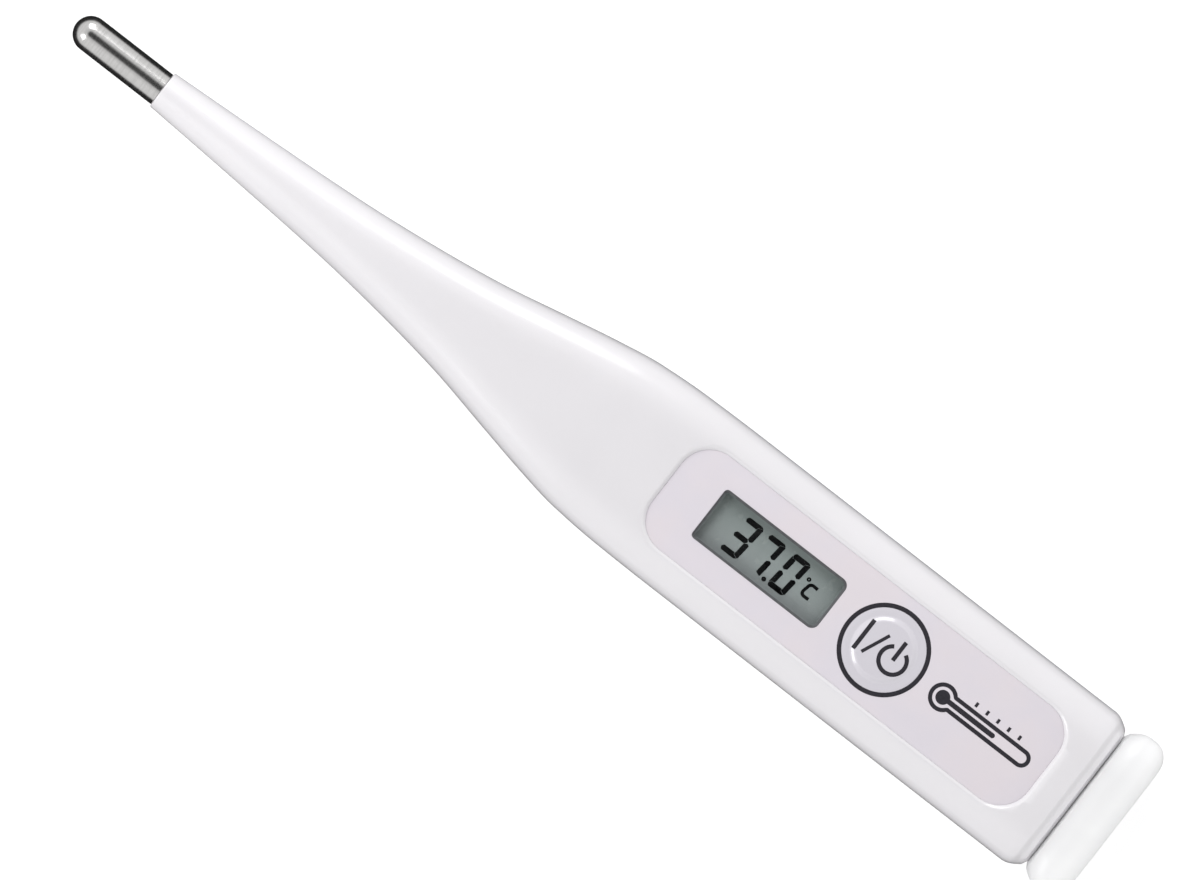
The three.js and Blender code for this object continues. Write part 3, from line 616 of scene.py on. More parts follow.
def turned_metal(name, node, light, dark, roughness):
    """Round stamped part: fine lines round the centre of its own node."""
    look = Look(name, roughness, 1.0)
    middle = TIP_X / MM + sum(c.x for c in span(node)) / 2
    centred = look.node("Mapping", {"Location": (-middle, 0, 0), "Vector": look.place})["Vector"]
    rings = look.bands(5, 1.5, centred, wave_type="RINGS", rings_direction="Z")
    blotch = look.noise(0.9, 4)
    base = look.blend(rings, (0.2, dark), (0.8, light))
    look.colour(look.mix(look.spread(blotch, 0, 0.4), base, dark))
    look.rough(blotch, roughness - 0.05, roughness + 0.08)
    look.bump(rings, 0.0012)
    return look


def ceramic(name, light, dark, roughness=0.6):
    look = Look(name, roughness)
    grain = look.noise(7, 5, 0.7)
    look.colour(grain, (0.3, dark), (0.7, light))
    look.rough(look.noise(2, 3), roughness - 0.1, roughness + 0.1)
    look.bump(grain, 0.006)
    return look


def resin():
    """Black resin drop: glossy, with pinholes."""
    look = Look("resin", 0.3, Coat_Weight=0.3)
    holes = look.cells(1.8)
    look.colour(look.noise(3, 4), (0.3, (22, 22, 23.8)), (0.7, (38.7, 38.7, 40.8)))
    look.rough(look.noise(2, 3), 0.2, 0.45)
    look.bump(look.spread(holes, 0, 1, 0.0, 0.12), 0.02)
    return look


def enamel(name, light, dark):
    look = Look(name, 0.25, Coat_Weight=0.6, Coat_Roughness=0.1)
    run = look.noise(1.5, 3, at=look.stretched(0.4, 1, 1))
    look.colour(run, (0.3, dark), (0.7, light))
    look.rough(run, 0.18, 0.32)
    look.bump(look.noise(5, 2), 0.004)
    return look


def layered_rubber():
    """Contact strip: fine conducting layers between insulating silicone."""
    look = Look("layered_rubber", 0.6)
    layers = look.bands(6, 0.2, wave_type="BANDS", bands_direction="X")
    look.colour(layers, (0.42, (120, 158, 196)), (0.58, (24, 26, 30)))
    look.rough(look.noise(2, 3), 0.5, 0.7)
    look.bump(layers, 0.01)
    return look


def rubber(name, light, dark):
    look = Look(name, 0.65, Sheen_Weight=0.2)
    bloom = look.noise(1.3, 5, 0.6)
    look.colour(bloom, (0.3, dark), (0.7, light))
    look.rough(bloom, 0.55, 0.78)
    look.bump(look.noise(8, 4), 0.006)
    return look


def cell_glass():
    look = Look("cell_glass", 0.05, Specular_IOR_Level=0.5)
    haze = look.noise(0.7, 3)
    look.colour(haze, (0.3, (196, 214, 206)), (0.7, (214, 228, 222)))
    look.feed(look.shader["Alpha"], look.spread(haze, 0.28, 0.4))
    look.rough(haze, 0.03, 0.09)
    return look


def backdrop():
    """Pale light table: matt, with the faintest tooth."""
    look = Look("backdrop", 0.9, Specular_IOR_Level=0.0, Emission_Strength=0.6)
    look.feed(look.shader["Emission Color"], (255, 255, 255))
    tooth = look.noise(0.05, 2)
    look.colour(tooth, (0.3, (187.5, 187.5, 187.9)), (0.7, (190.8, 190.8, 190.8)))
    return look


def paint(piece, look):
    piece.data.materials.clear()
    piece.data.materials.append(look.material)
    return piece


def finish_piece(piece, body, slot, look, *nodes):
    """Gives a piece its material and its CAD body, and hides the nodes that it stands for; slot is
    not used.
    """
    paint(piece, look)
    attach(piece, body)
    if nodes:
        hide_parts(*nodes)
    return piece


# ---- housing
REAR_ROUND = 2.2
REAR_DEPTH = 1.1
REAR_STEP = 0.34
REAR_STEP_X = (SEAM_X - 1.38, SEAM_X - 0.72)
REAR_FINE = 0.34
SEAM_FILLET = (0.32, 0.7)
FILLET_CURVE = 1.15
RECESS_FLOOR = 8.9
RECESS_GAP = 0.08
LIP_WIDTH = 0.44
LIP_DEPTH = 0.03
LIP_END = 1.3
LIP = ((0, 0), (0.03, 0.12), (0.12, 0.27), (0.5, 0.68), (0.66, 0.83), (0.8, 0.92), (0.92, 0.97),
       (1.08, 1.06), (1.2, 1.5))
CAVITY_WIDTH, CAVITY_HEIGHT, CAVITY_POWER = 7.6, 3.25, 4.5
CAVITY_START, CAVITY_FULL = 22, 72
BORE = 0.85
SPIGOT = 1.62
NOSE_EDGE = 0.1
WALL = 1.2
WINDOW_LENGTH, WINDOW_WIDTH = 15.6, 6.0
WINDOW_CORNERS = (0.85, 0.85, 0.45, 0.45)
LENS_PLAY, WINDOW_PLAY, KEY_PLAY = 0.1, 0.15, 0.15
WINDOW_FLOOR = 7
KEY_WELL = 8.45
STEM_WELL = (3, 7, 8.55)
TOOL_OVER = 0.5


def seam_fillet(distance):
    """How far the housing or the cap has turned in, at a distance from the seam."""
    length, depth = SEAM_FILLET
    share = min(max(1 - distance / length, 0), 1)
    return depth * share ** FILLET_CURVE


def housing_ring(x):
    """Outer section: it narrows in plan at the rear, and is chamfered above and below."""
    rear = 1 - math.sin(math.pi / 2 * min(max((SEAM_X - x) / REAR_ROUND, 0), 1))
    drop = REAR_STEP * smoothstep(x, *REAR_STEP_X)
    turn = seam_fillet(SEAM_X - x)
    height = half_height(x)
    return section(x, MID_Z, half_width(x) - REAR_DEPTH * rear - turn / 2, height - drop - turn,
                   height * FOOT_FACTOR - drop - turn, power_at(x))


def cavity_ring(x):
    width = min(CAVITY_WIDTH, half_width(x) - WALL)
    height = min(CAVITY_HEIGHT, half_height(x) - WALL)
    ramp = smoothstep(x, CAVITY_START, CAVITY_FULL)
    power = power_at(x) + (CAVITY_POWER - BODY_POWER) * ramp
    return section(x, MID_Z, width, height, height, power)


def housing_body():
    """The hollow shell as one closed skin: out along the outside, back through the inside."""
    nose = [disc(SPIGOT_X, BORE), disc(SPIGOT_X, SPIGOT - NOSE_EDGE),
            disc(SPIGOT_X + NOSE_EDGE, SPIGOT), disc(NOSE_X, SPIGOT)]
    nose += [disc(NOSE_X + NOSE_EDGE * (1 - s), half_width(NOSE_X) - NOSE_EDGE * (1 - c))
             for c, s in reversed(quarter_turn(4))]
    stations = np.concatenate([
        np.linspace(NOSE_X + 0.2, 80, 200), np.linspace(80.5, SEAM_X - REAR_ROUND, 50),
        np.linspace(SEAM_X - REAR_ROUND + 0.06, SEAM_X - REAR_FINE - 0.04, 40),
        SEAM_X - REAR_FINE * np.linspace(1, 0, 12),
    ])
    outside = [housing_ring(x) for x in stations]
    inside = [cavity_ring(x) for x in np.concatenate([
        [SEAM_X], np.linspace(SEAM_X - 0.3, CAVITY_START, 60)])]
    return Skin().loft(nose + outside + inside + [disc(CAVITY_START - 0.1, BORE)],
                       looped=True).object("housing_shell")


def panel_outline(grow, per_side=1):
    """The front panel's outline, larger by a distance all round."""
    return rounded_rectangle(
        (PANEL_LOW.x + PANEL_HIGH.x) / 2, 0, PANEL_HIGH.x - PANEL_LOW.x + 2 * grow,
        PANEL_HIGH.y - PANEL_LOW.y + 2 * grow, 3.4 + grow, per_corner=20, per_side=per_side)


def recess_cutter():
    """Tool for the panel's recess: flat floor, plain wall and a lip that follows the housing."""
    lip_low = PANEL_HIGH.z - LIP_DEPTH

    def ring(offset, height):
        return [(x, y, height(x, y)) for x, y in panel_outline(RECESS_GAP + offset, 24)]

    rings = [ring(0, lambda x, y: RECESS_FLOOR)]
    for out, up in LIP:
        rings.append(ring(LIP_WIDTH * out,
                          lambda x, y, up=up: lip_low + (housing_top(x, y) - lip_low) * up))
    rings.append(ring(LIP_WIDTH * LIP_END, lambda x, y: RECESS_FLOOR + 2))
    return Skin().loft(rings).object("recess_tool")


def opening_cutter(length, width, play, corner, z0):
    outline = rounded_rectangle(WINDOW_X, WINDOW_Y, length + 2 * play, width + 2 * play, corner,
                                per_corner=6)
    return prism(Skin(), outline, z0, RECESS_FLOOR + TOOL_OVER).object("opening_tool")


def well_cutter(radius, z0, z1):
    return Skin().loft(turned([(radius, z0), (radius, z1)], 96, KEY_X)).object("well_tool")


def housing():
    shell = housing_body()
    lens_low, lens_high = span("display_lens")
    lens_size = lens_high - lens_low
    cut(
        shell, recess_cutter(),
        opening_cutter(lens_size.x, lens_size.y, LENS_PLAY, 0.55, lens_low.z - 0.02),
        opening_cutter(WINDOW_LENGTH, WINDOW_WIDTH, WINDOW_PLAY, 0.5, WINDOW_FLOOR),
        well_cutter(KEY_HIGH.y + KEY_PLAY, KEY_WELL, RECESS_FLOOR + TOOL_OVER),
        well_cutter(*STEM_WELL),
    )
    return finish_piece(shell, "body", "shell", abs_white(), "housing")


# ---- probe
def steel_tip():
    wall, rim = 0.18, 0.05
    inner = STEEL_RADIUS - wall
    arcs = quarter_turn(14, 2, 90)
    outside = [disc(STEEL_RADIUS * (1 - c), STEEL_RADIUS * s) for c, s in arcs]
    inside = [disc(STEEL_RADIUS - inner * c, inner * s) for c, s in arcs]
    outside += [disc(x, STEEL_RADIUS) for x in np.linspace(2.2, STEEL_REAR - rim, 12)]
    end = [disc(STEEL_REAR, STEEL_RADIUS - rim), disc(STEEL_REAR, inner)]
    tip = Skin().loft(outside + end + inside[::-1]).object("steel_tip")
    return finish_piece(tip, "body", "steel", polished_steel(), "probe_tip")


def wire_rings(points, radius, sides=10):
    """Rings along a wire: each is square to it, and none twists against the last."""
    points = np.array(points, float)
    rings = []
    for i, p in enumerate(points):
        along = points[min(i + 1, len(points) - 1)] - points[max(i - 1, 0)]
        along /= np.linalg.norm(along)
        side = np.cross(along, (0, 0, 1))
        side /= np.linalg.norm(side)
        up = np.cross(side, along)
        turn = 2 * np.pi * np.arange(sides) / sides
        rings.append(p + radius * (np.outer(np.cos(turn), side) + np.outer(np.sin(turn), up)))
    return rings


def curve_points(points, steps):
    """Even steps along a smooth curve through points."""
    points = np.array(points, float)
    ends = np.vstack([2 * points[0] - points[1], points, 2 * points[-1] - points[-2]])
    made = []
    for k in range(1, len(ends) - 2):
        a, b, c, d = ends[k - 1:k + 3]
        for t in np.linspace(0, 1, steps, endpoint=False):
            made.append(0.5 * ((2 * b) + (c - a) * t + (2 * a - 5 * b + 4 * c - d) * t * t
                               + (3 * b - a - 3 * c + d) * t ** 3))
    return made + [points[-1]]


SLACK = (53, 71)
LEAD_RADIUS = 0.16


def sensor_leads(red, green):
    """Enamelled leads from the sensor to the board, with slack that on the real thing pulls out
    straight; here they are drawn at rest only.
    """
    waves, reach = 2, 3.4
    board_top = span("circuit_board")[1].z
    for number, side, look, slot in ((1, 1, red, "lead_red"), (2, -1, green, "lead_green")):
        points = [(x, side * y, MID_Z + side * rise)
                  for x, y, rise in ((3.4, 0.25, 0), (6, 0.35, 0), (24, 0.4, 0), (44, 0.5, 0.3))]
        for t in np.linspace(0, 1, 33):
            points.append((SLACK[0] + t * (SLACK[1] - SLACK[0]),
                           reach * math.sin(2 * math.pi * waves * t), MID_Z + 0.9 * side))
        pad_z = board_top + 0.25
        points += [(73.4, side, pad_z + 0.1 * side), (76.3, 1.5 * side, pad_z)]
        rings = wire_rings(curve_points(points, 6), LEAD_RADIUS)
        lead = Skin().loft(rings).object(f"sensor_lead_{number}")
        paint(lead, look)
        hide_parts(f"thermistor_lead_{number}")
        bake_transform(lead)


# ---- front panel
FILM_EDGE, FILM_PLAY = 0.025, 0.004
BORDER_OUT, BORDER_IN = 0.12, -0.27
KEY_GAP = 0.02
KEY_RADIUS = 4.27
KEY_SHOULDER = (2.78, 3.5)
KEY_CROWN = 0.04
KEY_RING = (4.51, 0.44)
KEY_BARS = (
    ((99.64, -1.75), (99.64, 1.82), 30, 0.44),
    ((100.5, -1.5), (101.8, 1.5), 24, 0.34),
)
STANDBY = (103.53, -0.3, 1.42, 0.43)


def window_outline(grow=0.0):
    corners = [r + grow for r in WINDOW_CORNERS]
    return rounded_rectangle(WINDOW_X, WINDOW_Y, WINDOW_LENGTH + 2 * grow,
                             WINDOW_WIDTH + 2 * grow, corners, per_corner=10)


def panel_film():
    """Panel film with softly rounded edges, and its window and key hole cut through."""
    grow = RECESS_GAP - FILM_PLAY
    rings = [[(x, y, PANEL_LOW.z) for x, y in panel_outline(grow)]]
    for c, s in quarter_turn(4):
        z = PANEL_HIGH.z - FILM_EDGE * (1 - s)
        rings.append([(x, y, z) for x, y in panel_outline(grow - FILM_EDGE * (1 - c))])
    film = Skin().loft(rings).object("panel_film")
    window = Skin().loft([
        [(x, y, PANEL_LOW.z - 1) for x, y in window_outline()],
        [(x, y, PANEL_HIGH.z - 0.05) for x, y in window_outline()],
        [(x, y, PANEL_HIGH.z + 0.02) for x, y in window_outline(0.05)],
        [(x, y, PANEL_HIGH.z + 1) for x, y in window_outline(0.05)],
    ]).object("window_tool")
    radius = KEY_RADIUS + KEY_GAP
    hole = Skin().loft(turned([
        (radius, PANEL_LOW.z - 1), (radius, PANEL_HIGH.z + 1)], 128, KEY_X)).object("hole_tool")
    cut(film, window, hole)
    return finish_piece(film, "body", "panel", printed_film(), "overlay_film")


def window_border(look):
    """Dark line printed round the window's edge, on top of the lens; it is partly a painted shadow of
    that edge.
    """
    z = span("display_lens")[1].z
    border = ring_plate(Skin(), window_outline(BORDER_OUT), window_outline(BORDER_IN), z, z + 0.02)
    return finish_piece(border.object("window_border"), "body", "panel", look)


def key_profile():
    """Upper side of the key as (radius, z): a flat rim, a rounded shoulder and a low crown."""
    top, rim = KEY_HIGH.z, PANEL_HIGH.z
    inner, outer = KEY_SHOULDER
    shoulder = [(r, rim + (top - KEY_CROWN - rim) * smoothstep(outer - r, 0, outer - inner))
                for r in np.linspace(outer, inner, 20)]
    middle = [(r, top - KEY_CROWN * (r / inner) ** 2) for r in np.linspace(2.6, 0.2, 9)]
    return [(KEY_RADIUS, rim - 0.05), (KEY_RADIUS - 0.02, rim - 0.01),
            (KEY_RADIUS - 0.06, rim), (3.8, rim)] + shoulder + middle


def key_height(x, y):
    profile = sorted(key_profile())
    r = math.hypot(x - KEY_X, y)
    return float(np.interp(r, [p[0] for p in profile], [p[1] for p in profile]))


def power_key():
    stem, flange = 2.6, KEY_HIGH.y
    low, high = 8.77, 8.95
    below = [(0.1, KEY_LOW.z), (stem - 0.1, KEY_LOW.z), (stem, KEY_LOW.z + 0.1), (stem, low),
             (flange - 0.05, low), (flange, low + 0.05), (flange, high - 0.05),
             (flange - 0.05, high), (KEY_RADIUS, high)]
    key = Skin().loft(turned(below + key_profile(), 128, KEY_X)).object("power_key_cap")
    return finish_piece(key, "key", "key", key_plastic(), "power_key")


def key_symbols(look):
    """Printed on the key: an upright bar, a slash and the usual standby sign."""
    strokes = Skin()
    for start, stop, steps, width in KEY_BARS:
        ribbon(strokes, line(start, stop, steps), width, key_height)
    x, y, radius, width = STANDBY
    ribbon(strokes, arc(x, y, radius, 90 + 31, 90 + 329, 72), width, key_height)
    ribbon(strokes, line((x, y + 2.25), (x, y), 20), width, key_height)
    return finish_piece(strokes.object("key_symbols"), "key", "key", look)


def panel_print(look):
    """Printed on the panel: a ring round the key, and a small drawing of a thermometer."""
    def film_top(x, y):
        return PANEL_HIGH.z

    ring = Skin()
    ribbon(ring, circle(KEY_X, 0, KEY_RING[0], 144), KEY_RING[1], film_top, 0.0, closed=True)
    finish_piece(ring.object("key_ring_print"), "body", "panel", look)

    mark = Skin()
    y, tube, width = -0.12, 0.74, 0.42
    bulb_x, end_x = 109.75, 120.4
    bulb = 1.28
    join = math.degrees(math.asin(tube / bulb))
    outline = (arc(bulb_x, y, bulb, join, 360 - join, 56)
               + arc(end_x - tube, y, tube, -90, 90, 24))
    ribbon(mark, outline, width, film_top, 0.0, closed=True)
    finish_piece(mark.object("thermometer_mark"), "body", "panel", look)
    fill = Skin()
    blob, column, column_x = 0.75, 0.26, 116
    reach = math.degrees(math.asin(column / blob))
    inside = (arc(bulb_x, y, blob, reach, 360 - reach, 40)
              + arc(column_x, y, column, -90, 90, 12))
    prism(fill, inside, PANEL_HIGH.z, PANEL_HIGH.z + INK)
    finish_piece(fill.object("thermometer_mark_fill"), "body", "panel", look)
    ticks = Skin()
    for k in range(5):
        x = 112.9 + 1.35 * k
        ribbon(ticks, line((x, y + tube + 0.5), (x, y + tube + 1.0), 3), 0.3, film_top, 0.0)
    finish_piece(ticks.object("thermometer_mark_scale"), "body", "panel", look)


# ---- display
# Corners of each segment of a character, in a box one wide and one high before the stroke's
# width is added: (share of width, share of height, strokes across, strokes up).
SEGMENTS = {
    "a": [(0, 1, 0.06, -0.5), (0, 1, 0.36, 0), (1, 1, -0.55, 0), (1, 1, -0.12, -0.3),
          (1, 1, -1.04, -0.63), (1, 1, -1.04, -1), (0, 1, 0.34, -1)],
    "b": [(1, 1, -0.1, -0.34), (1, 1, 0, -0.5), (1, 0.5, 0, 0.42), (1, 0.5, -0.45, 0.17),
          (1, 0.5, -1, 0.5), (1, 1, -1, -0.67)],
    "f": [(0, 1, 0, -0.66), (0, 1, 0.11, -0.7), (0, 1, 0.31, -1.04), (0, 1, 1, -1.04),
          (0, 0.5, 1, 0.5), (0, 0.5, 0.45, 0.17), (0, 0.5, 0, 0.42)],
    "g": [(0, 0.5, 0.12, 0), (0, 0.5, 0.42, -0.5), (1, 0.5, -1, -0.5), (1, 0.5, -0.6, 0),
          (1, 0.5, -1, 0.5), (0, 0.5, 0.42, 0.5)],
}
for upper, lower in (("a", "d"), ("b", "c"), ("f", "e")):
    SEGMENTS[lower] = [(u, 1 - v, p, -q) for u, v, p, q in SEGMENTS[upper]]
LIT = {"3": "abcdg", "7": "abc", "0": "abcdef"}
LIT_HEIGHT = 0.02
DIGITS = (("3", 82.9), ("7", 85.72), ("0", 88.85))
DIGIT_FOOT = WINDOW_Y - 2.16
DIGIT_WIDTH, DIGIT_HEIGHT, STROKE, SLANT = 2.12, 4.27, 0.58, 0.1
POINT = (88.38, 0.25)
UNIT = ((93.3, 0.55), (92.95, 0.57), (92.62, 0.55), (92.38, 0.36), (92.3, 0), (92.22, -0.4),
        (92.28, -0.68), (92.5, -0.8), (92.82, -0.81), (93.16, -0.8))
UNIT_STROKE = 0.34
DEGREE = (91.98, 0.82)
DEGREE_RADII = (0.23, 0.07)


def soften(outline, radius):
    """The outline with each corner cut back and rounded by up to a distance."""
    points = [np.array(p, float) for p in outline]
    made = []
    for i, p in enumerate(points):
        before, after = points[i - 1] - p, points[(i + 1) % len(points)] - p
        reach = min(radius, 0.45 * np.linalg.norm(before), 0.45 * np.linalg.norm(after))
        a, b = (p + v * reach / np.linalg.norm(v) for v in (before, after))
        made += [tuple((1 - t) ** 2 * a + 2 * t * (1 - t) * p + t * t * b)
                 for t in np.linspace(0, 1, 5)]
    return made


def glyph(skin, character, x):
    """One seven-segment character, leaning over its lower left corner at x."""
    for name in LIT[character]:
        outline = [(u * DIGIT_WIDTH + p * STROKE, v * DIGIT_HEIGHT + q * STROKE)
                   for u, v, p, q in SEGMENTS[name]]
        leaning = [(x + px + SLANT * py, DIGIT_FOOT + py) for px, py in outline]
        prism(skin, soften(leaning, STROKE * 0.15), GLASS_Z, GLASS_Z + LIT_HEIGHT)


def reading():
    """Switched-on segments: 37.0, with the degree sign and its letter."""
    on = Skin()
    for character, x in DIGITS:
        glyph(on, character, x)
    low, high = GLASS_Z, GLASS_Z + LIT_HEIGHT
    prism(on, circle(POINT[0], DIGIT_FOOT + POINT[1], 0.25, 20), low, high)
    path = curve_points([(x, WINDOW_Y + y, 0) for x, y in UNIT], 5)
    ribbon(on, [p[:2] for p in path], UNIT_STROKE, lambda x, y: GLASS_Z, 0.0)
    degree = [circle(DEGREE[0], WINDOW_Y + DEGREE[1], radius, 24) for radius in DEGREE_RADII]
    ring_plate(on, *degree, low, high)
    return finish_piece(on.object("reading", flat=True), "tray", "polariser", display_ink())


# ---- end cap
CAP_X = SEAM_X + 0.03
CAP_HALF_WIDTH, CAP_HALF_HEIGHT = span("battery_cap")[1].y, 4.99
CAP_FLARE = (1.2, 0.75)
END_ROUND = (2.0, 2.2, 1.4)
PLUG_GAP = 0.12
HOLLOW = (6.3, 2.4)
HOLLOW_END = 129.8
GROOVE = (123.3, 124.3)


def cap_ring(x, flare, rounding):
    _, side, top = END_ROUND
    turn = seam_fillet(x - CAP_X)
    width = CAP_HALF_WIDTH - flare * CAP_FLARE[0] - rounding * side - turn / 2
    rise = -flare * CAP_FLARE[1] - rounding * top - turn
    return section(x, CAP_MID_Z, width,
                   CAP_HALF_HEIGHT + rise, CAP_HALF_HEIGHT * FOOT_FACTOR + rise, BODY_POWER)


def plug_ring(x, inset):
    width, height = CAVITY_WIDTH - PLUG_GAP - inset, CAVITY_HEIGHT - PLUG_GAP - inset
    return section(x, MID_Z, width, height, height, CAVITY_POWER)


def hollow_ring(x, inset=0.0):
    return section(x, MID_Z, HOLLOW[0] - inset, HOLLOW[1] - inset, HOLLOW[1] - inset, CAVITY_POWER)


def end_cap(look):
    """Cap as one closed skin: round its outside, along the plug and into the hollow."""
    length = END_ROUND[0]
    round_start = CAP_END_X - length
    outside = []
    for c, s in quarter_turn(12, 0, 90)[::-1]:
        outside.append(cap_ring(round_start + length * s, 0, 1 - c))
    for x in np.linspace(round_start - 0.1, CAP_X + REAR_ROUND, 8):
        outside.append(cap_ring(x, 0, 0))
    for x in CAP_X + (REAR_ROUND - 0.1) * np.linspace(1, 0, 34) ** 1.6:
        outside.append(cap_ring(x, 1 - math.sin(math.pi / 2 * (x - CAP_X) / REAR_ROUND), 0))
    g0, g1 = GROOVE
    plug = [plug_ring(CAP_X, 0), plug_ring(g1, 0), plug_ring(g1, 0.5), plug_ring(g0, 0.5),
            plug_ring(g0, 0), plug_ring(PLUG_X + 0.4, 0), plug_ring(PLUG_X + 0.12, 0.07),
            plug_ring(PLUG_X, 0.25)]
    hollow = [hollow_ring(PLUG_X, -0.1), hollow_ring(PLUG_X + 0.2), hollow_ring(HOLLOW_END - 0.5),
              hollow_ring(HOLLOW_END, 0.5)]
    cap = Skin().loft(outside + plug + hollow).object("end_cap")
    return finish_piece(cap, "cap", "cap", look, "battery_cap")


def seal_ring(look):
    """Soft ring in the plug's groove, its outside rounded."""
    middle, half = sum(GROOVE) / 2, (GROOVE[1] - GROOVE[0]) / 2 - 0.05
    rings = [plug_ring(middle - half, 0.46), plug_ring(middle + half, 0.46)]
    for c, s in quarter_turn(8, -80, 80):
        rings.append(plug_ring(middle + half * s, 0.43 - 0.47 * c))
    rings = rings[:2] + rings[2:][::-1]
    ring = Skin().loft(rings, looped=True).object("seal_ring")
    return finish_piece(ring, "cap", "seal", look, "cap_seal")


# ---- what the chassis carries
SENSOR_PAD = (76.75, 1.55)
SWITCH_LEG = (2.95, 1.7)
CELL_JOINT = (110.6, 0.75)
PASTE = 0.005
RIB_START, RIB_TOP = 37.9, 6.6
RIB_HALF, RIB_RISE = 0.14, 0.22
RIB_SIDE, RIB_STEP = 4.75, 0.55
def solder_joint(skin, x, y, z, radius, height):
    """A dome of solder that thins out to the pad."""
    profile = [(radius * (1 - 0.72 * t), z + height * t ** 1.6) for t in np.linspace(0, 0.9, 7)]
    skin.loft(turned(profile + [(radius * 0.1, z + height)], 20, x, y))


def solder_joints(look):
    """Solder at the leads, the cell contacts, the switch's legs and the chip parts' ends."""
    joints = Skin()
    top = span("circuit_board")[1].z + PASTE
    contact = span("battery_contact_positive")[0].z + 0.13
    for side in (-1, 1):
        solder_joint(joints, SENSOR_PAD[0], SENSOR_PAD[1] * side, top, 0.62, 0.5)
        solder_joint(joints, CELL_JOINT[0], CELL_JOINT[1] * side, contact, 0.5, 0.3)
        for other in (-1, 1):
            solder_joint(joints, KEY_X + SWITCH_LEG[0] * side, SWITCH_LEG[1] * other, top, 0.62, 0.55)
    for node in ("capacitor_1", "capacitor_2", "resistor_1", "resistor_2"):
        near, far = span(node)
        for y in (near.y - 0.33, far.y + 0.33):
            solder_joint(joints, (near.x + far.x) / 2, y, top, 0.31, 0.34)
    return finish_piece(joints.object("solder_joints"), "tray", "nickel", look)


def board_pads(look):
    """Bare gold pads round the solder joints, and a row of test pads."""
    pads = Skin()
    z = span("circuit_board")[1].z
    spots = [(SENSOR_PAD[0], SENSOR_PAD[1] * s, 0.75) for s in (1, -1)]
    spots += [(KEY_X + SWITCH_LEG[0] * s, SWITCH_LEG[1] * t, 0.72) for s in (-1, 1) for t in (-1, 1)]
    spots += [(109.9 - 1.25 * k, 5.2 * s, 0.34) for k in range(1, 4) for s in (-1, 1)]
    for x, y, radius in spots:
        pads.loft(turned([(radius, z), (radius, z + 0.012), (radius - 0.02, z + 0.014)], 28, x, y))
    return finish_piece(pads.object("board_pads"), "tray", "bronze", look)


def cell_marks(look):
    """The button cell's raised plus sign."""
    x, y = (sum(c[k] for c in span("battery_can")) / 2 for k in (0, 1))
    top = span("battery_can")[1].z
    plus = Skin()
    off, arm, half = 1.7, 0.75, 0.13
    outline = []
    for dx, dy in ((1, 0), (0, 1), (-1, 0), (0, -1)):
        for along, aside in ((arm, -half), (arm, half), (half, half)):
            outline.append((x + off + dx * along - dy * aside, y + dy * along + dx * aside))
    prism(plus, outline, top, top + 0.03)
    return finish_piece(plus.object("cell_plus"), "tray", "nickel", look)


def grip_ribs(look):
    """Ribs across the chassis end, for pulling it out."""
    ribs = Skin()
    low, high = span("chassis")
    for k in range(3):
        for side in (-1, 1):
            centre = side * (RIB_SIDE + RIB_STEP * k)
            rings = []
            for rise, end, edge in ((0, 0, 0), (RIB_RISE, 0.12, 0.07)):
                x0, x1 = low.x + RIB_START + end, high.x - 0.3 - end
                y0, y1 = centre - RIB_HALF + edge, centre + RIB_HALF - edge
                z = RIB_TOP + rise
                rings.append([(x0, y0, z), (x1, y0, z), (x1, y1, z), (x0, y1, z)])
            ribs.loft(rings)
    return finish_piece(ribs.object("grip_ribs"), "tray", "chassis", look)


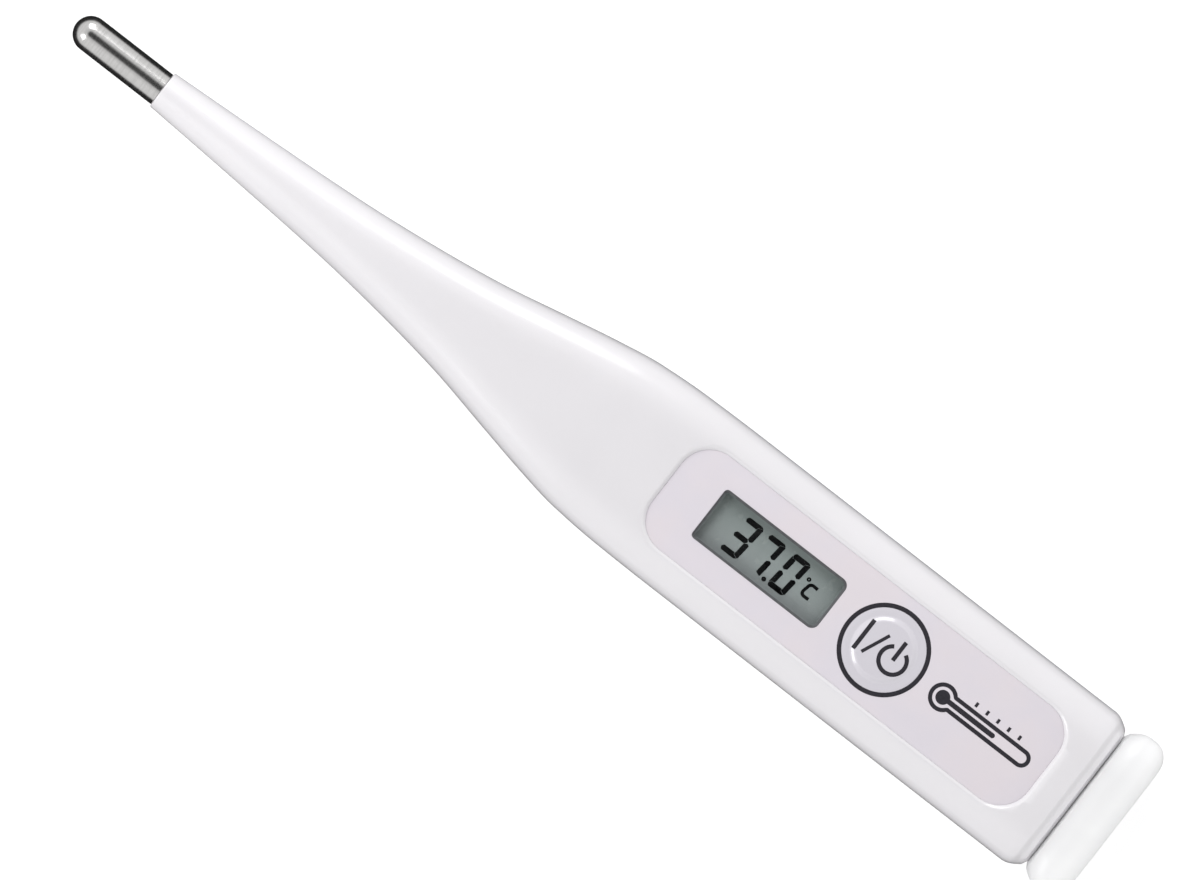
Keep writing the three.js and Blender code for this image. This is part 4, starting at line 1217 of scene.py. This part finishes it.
# ---- CAD nodes that stay
def dress_cad_nodes(chassis, red, green):
    """A procedural material for each carried-over node, and rounded edges where they show."""
    tan = ceramic("chip_ceramic", (190, 160, 122), (168, 136, 100))
    black_chip = ceramic("chip_black", (44, 44, 48), (28, 28, 31), 0.4)
    nylon = moulded_plastic("black_nylon", (34, 34, 36), (26, 26, 28), 0.45)
    nickel = turned_metal("cell_nickel", "battery_can", (196, 195, 192),
                          (178, 177, 174), 0.32)
    switch_nickel = metal("switch_nickel", (210, 210, 208), (188, 188, 186), 0.26)
    bronze = metal("phosphor_bronze", (214, 168, 112), (186, 138, 86), 0.26)
    glass = cell_glass()
    strip = layered_rubber()
    looks = {
        "tip_epoxy": ceramic("potting", (84, 78, 74), (62, 57, 54)),
        "thermistor_bead": enamel("bead_coat", (70, 44, 30), (44, 26, 18)),
        "panel_adhesive": rubber("adhesive_tape", (238, 235, 226), (226, 222, 212)),
        "display_lens": clear_acrylic(),
        "chassis": chassis, "display_frame": chassis,
        "circuit_board": solder_mask(), "chip_glob_top": resin(),
        "capacitor_1": tan, "capacitor_2": tan, "resistor_1": black_chip, "resistor_2": black_chip,
        "lcd_front_polariser": display_face(), "lcd_front_glass": glass, "lcd_rear_glass": glass,
        "lcd_reflector": metal("reflector_foil", (150, 160, 154), (134, 145, 139), 0.35),
        "zebra_connector_1": strip, "zebra_connector_2": strip,
        "switch_base": nylon, "switch_plunger": nylon,
        "switch_cover": switch_nickel, "switch_dome": switch_nickel,
        "battery_can": nickel, "battery_base": nickel,
        "battery_gasket": rubber("cell_gasket", (70, 76, 84), (52, 57, 64)),
        "battery_contact_positive": bronze, "battery_contact_negative": bronze,
        "buzzer_plate": turned_metal("buzzer_brass", "buzzer_plate", (222, 186, 108),
                                     (198, 160, 84), 0.28),
        "buzzer_ceramic": ceramic("silvered_ceramic", (214, 211, 202),
                                  (196, 192, 182), 0.45),
        "buzzer_lead_1": red, "buzzer_lead_2": green,
    }
    for name, look in looks.items():
        paint(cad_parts[name], look)
    edges = {
        0.12: "chassis display_frame", 0.1: "switch_base", 0.08: "battery_can",
        0.05: "circuit_board display_lens", 0.02: "battery_contact_positive battery_contact_negative",
        0.04: "switch_cover capacitor_1 capacitor_2 resistor_1 resistor_2 lcd_front_glass",
    }
    for width, names in edges.items():
        for name in names.split():
            round_edges(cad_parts[name], width)


# ---- stage
CAMERA_ROLL = math.radians(37.83)
FRAME_WIDTH = 119.1
AIM = (66.58, -1.1)
SENSOR, LENS = 36.0, 1200.0


def camera():
    data = bpy.data.cameras.new("camera")
    data.sensor_width = SENSOR
    data.lens = LENS
    data.clip_start = 0.01
    eye = new_object("camera", data)
    distance = FRAME_WIDTH * LENS / SENSOR
    eye.location = (TIP_X + AIM[0] * MM, AIM[1] * MM, (MID_Z + distance) * MM)
    eye.rotation_euler = (0, 0, CAMERA_ROLL)
    bpy.context.scene.camera = eye


def floor():
    """A light table: pale, matt, and lit a little from below so that shadows stay faint."""
    half, middle, top = 2000, 66, -0.02
    table = Skin()
    ring = [(middle + sx * half, sy * half, top) for sx, sy in ((1, -1), (1, 1), (-1, 1), (-1, -1))]
    table.loft([[(x, y, z - 5) for x, y, z in ring], ring])
    piece = paint(table.object("floor", flat=True), backdrop())
    piece.visible_glossy = False


# Light from each height, as (share of the way from straight below to straight above, strength).
TENT = ((0.0, 0.02), (0.39, 0.03), (0.44, 0.5), (0.5, 1.0), (0.7, 1.0), (0.85, 0.98),
        (0.93, 0.85), (0.965, 0.8), (0.982, 0.06), (1.0, 0.03))
TENT_STRENGTH = 0.97
SOFTBOX_DISTANCE = 0.7


def studio_light():
    """A light tent: bright all round, open over the camera, and dim below the table's edge."""
    world = bpy.data.worlds.new("tent")
    bpy.context.scene.world = world
    world.use_nodes = True
    sky = Nodes(world.node_tree)
    direction = sky.node("TexCoord", {})["Generated"]
    rise = sky.node("SeparateXYZ", {"Vector": direction})["Z"]
    height = sky.node("MapRange", {"From Min": -1, "Value": rise})["Result"]
    background = world.node_tree.nodes["Background"]
    sky.feed(background.inputs["Color"], sky.ramp(height, [(at, (tone,) * 3) for at, tone in TENT]))
    background.inputs["Strength"].default_value = TENT_STRENGTH


def softbox(name, direction, size, power):
    """A rectangular soft light, aimed at the thermometer from a direction."""
    data = bpy.data.lights.new(name, "AREA")
    data.shape = "RECTANGLE"
    data.size = data.size_y = size
    data.energy = power
    lamp = new_object(name, data)
    direction = Vector(direction).normalized()
    aim = Vector((TIP_X + AIM[0] * MM, 0, MID_Z * MM))
    lamp.location = aim + direction * SOFTBOX_DISTANCE
    lamp.rotation_euler = (-direction).to_track_quat("-Z", "Y").to_euler()


# ---- the whole
camera()
housing()
steel_tip()
lead_red = enamel("enamel_red", (176, 60, 44), (140, 40, 30))
lead_green = enamel("enamel_green", (60, 128, 84), (36, 92, 58))
sensor_leads(lead_red, lead_green)
panel_film()
power_key()
window_border(border_print_and_painted_shadow())
black_ink = ink()
key_symbols(black_ink)
panel_print(black_ink)
reading()
end_cap(polypropylene())
seal_ring(rubber("seal_rubber", (150, 152, 154), (132, 134, 136)))
solder_joints(metal("solder", (206, 206, 208), (176, 176, 180), 0.3))
board_pads(metal("pad_gold", (224, 184, 104), (204, 160, 84), 0.28))
cell_marks(metal("mark_nickel", (216, 215, 212), (200, 199, 196), 0.22))
chassis_abs = moulded_plastic("chassis_abs", (222, 222, 218), (214, 214, 210), 0.42)
grip_ribs(chassis_abs)
dress_cad_nodes(chassis_abs, lead_red, lead_green)
floor()
studio_light()
softbox("softbox_far", (-0.44, 0.68, 0.58), 0.34, 1.9)
softbox("softbox_near", (-0.5, -0.62, 0.6), 0.26, 1.2)
bpy.context.scene.view_settings.view_transform = "Standard"
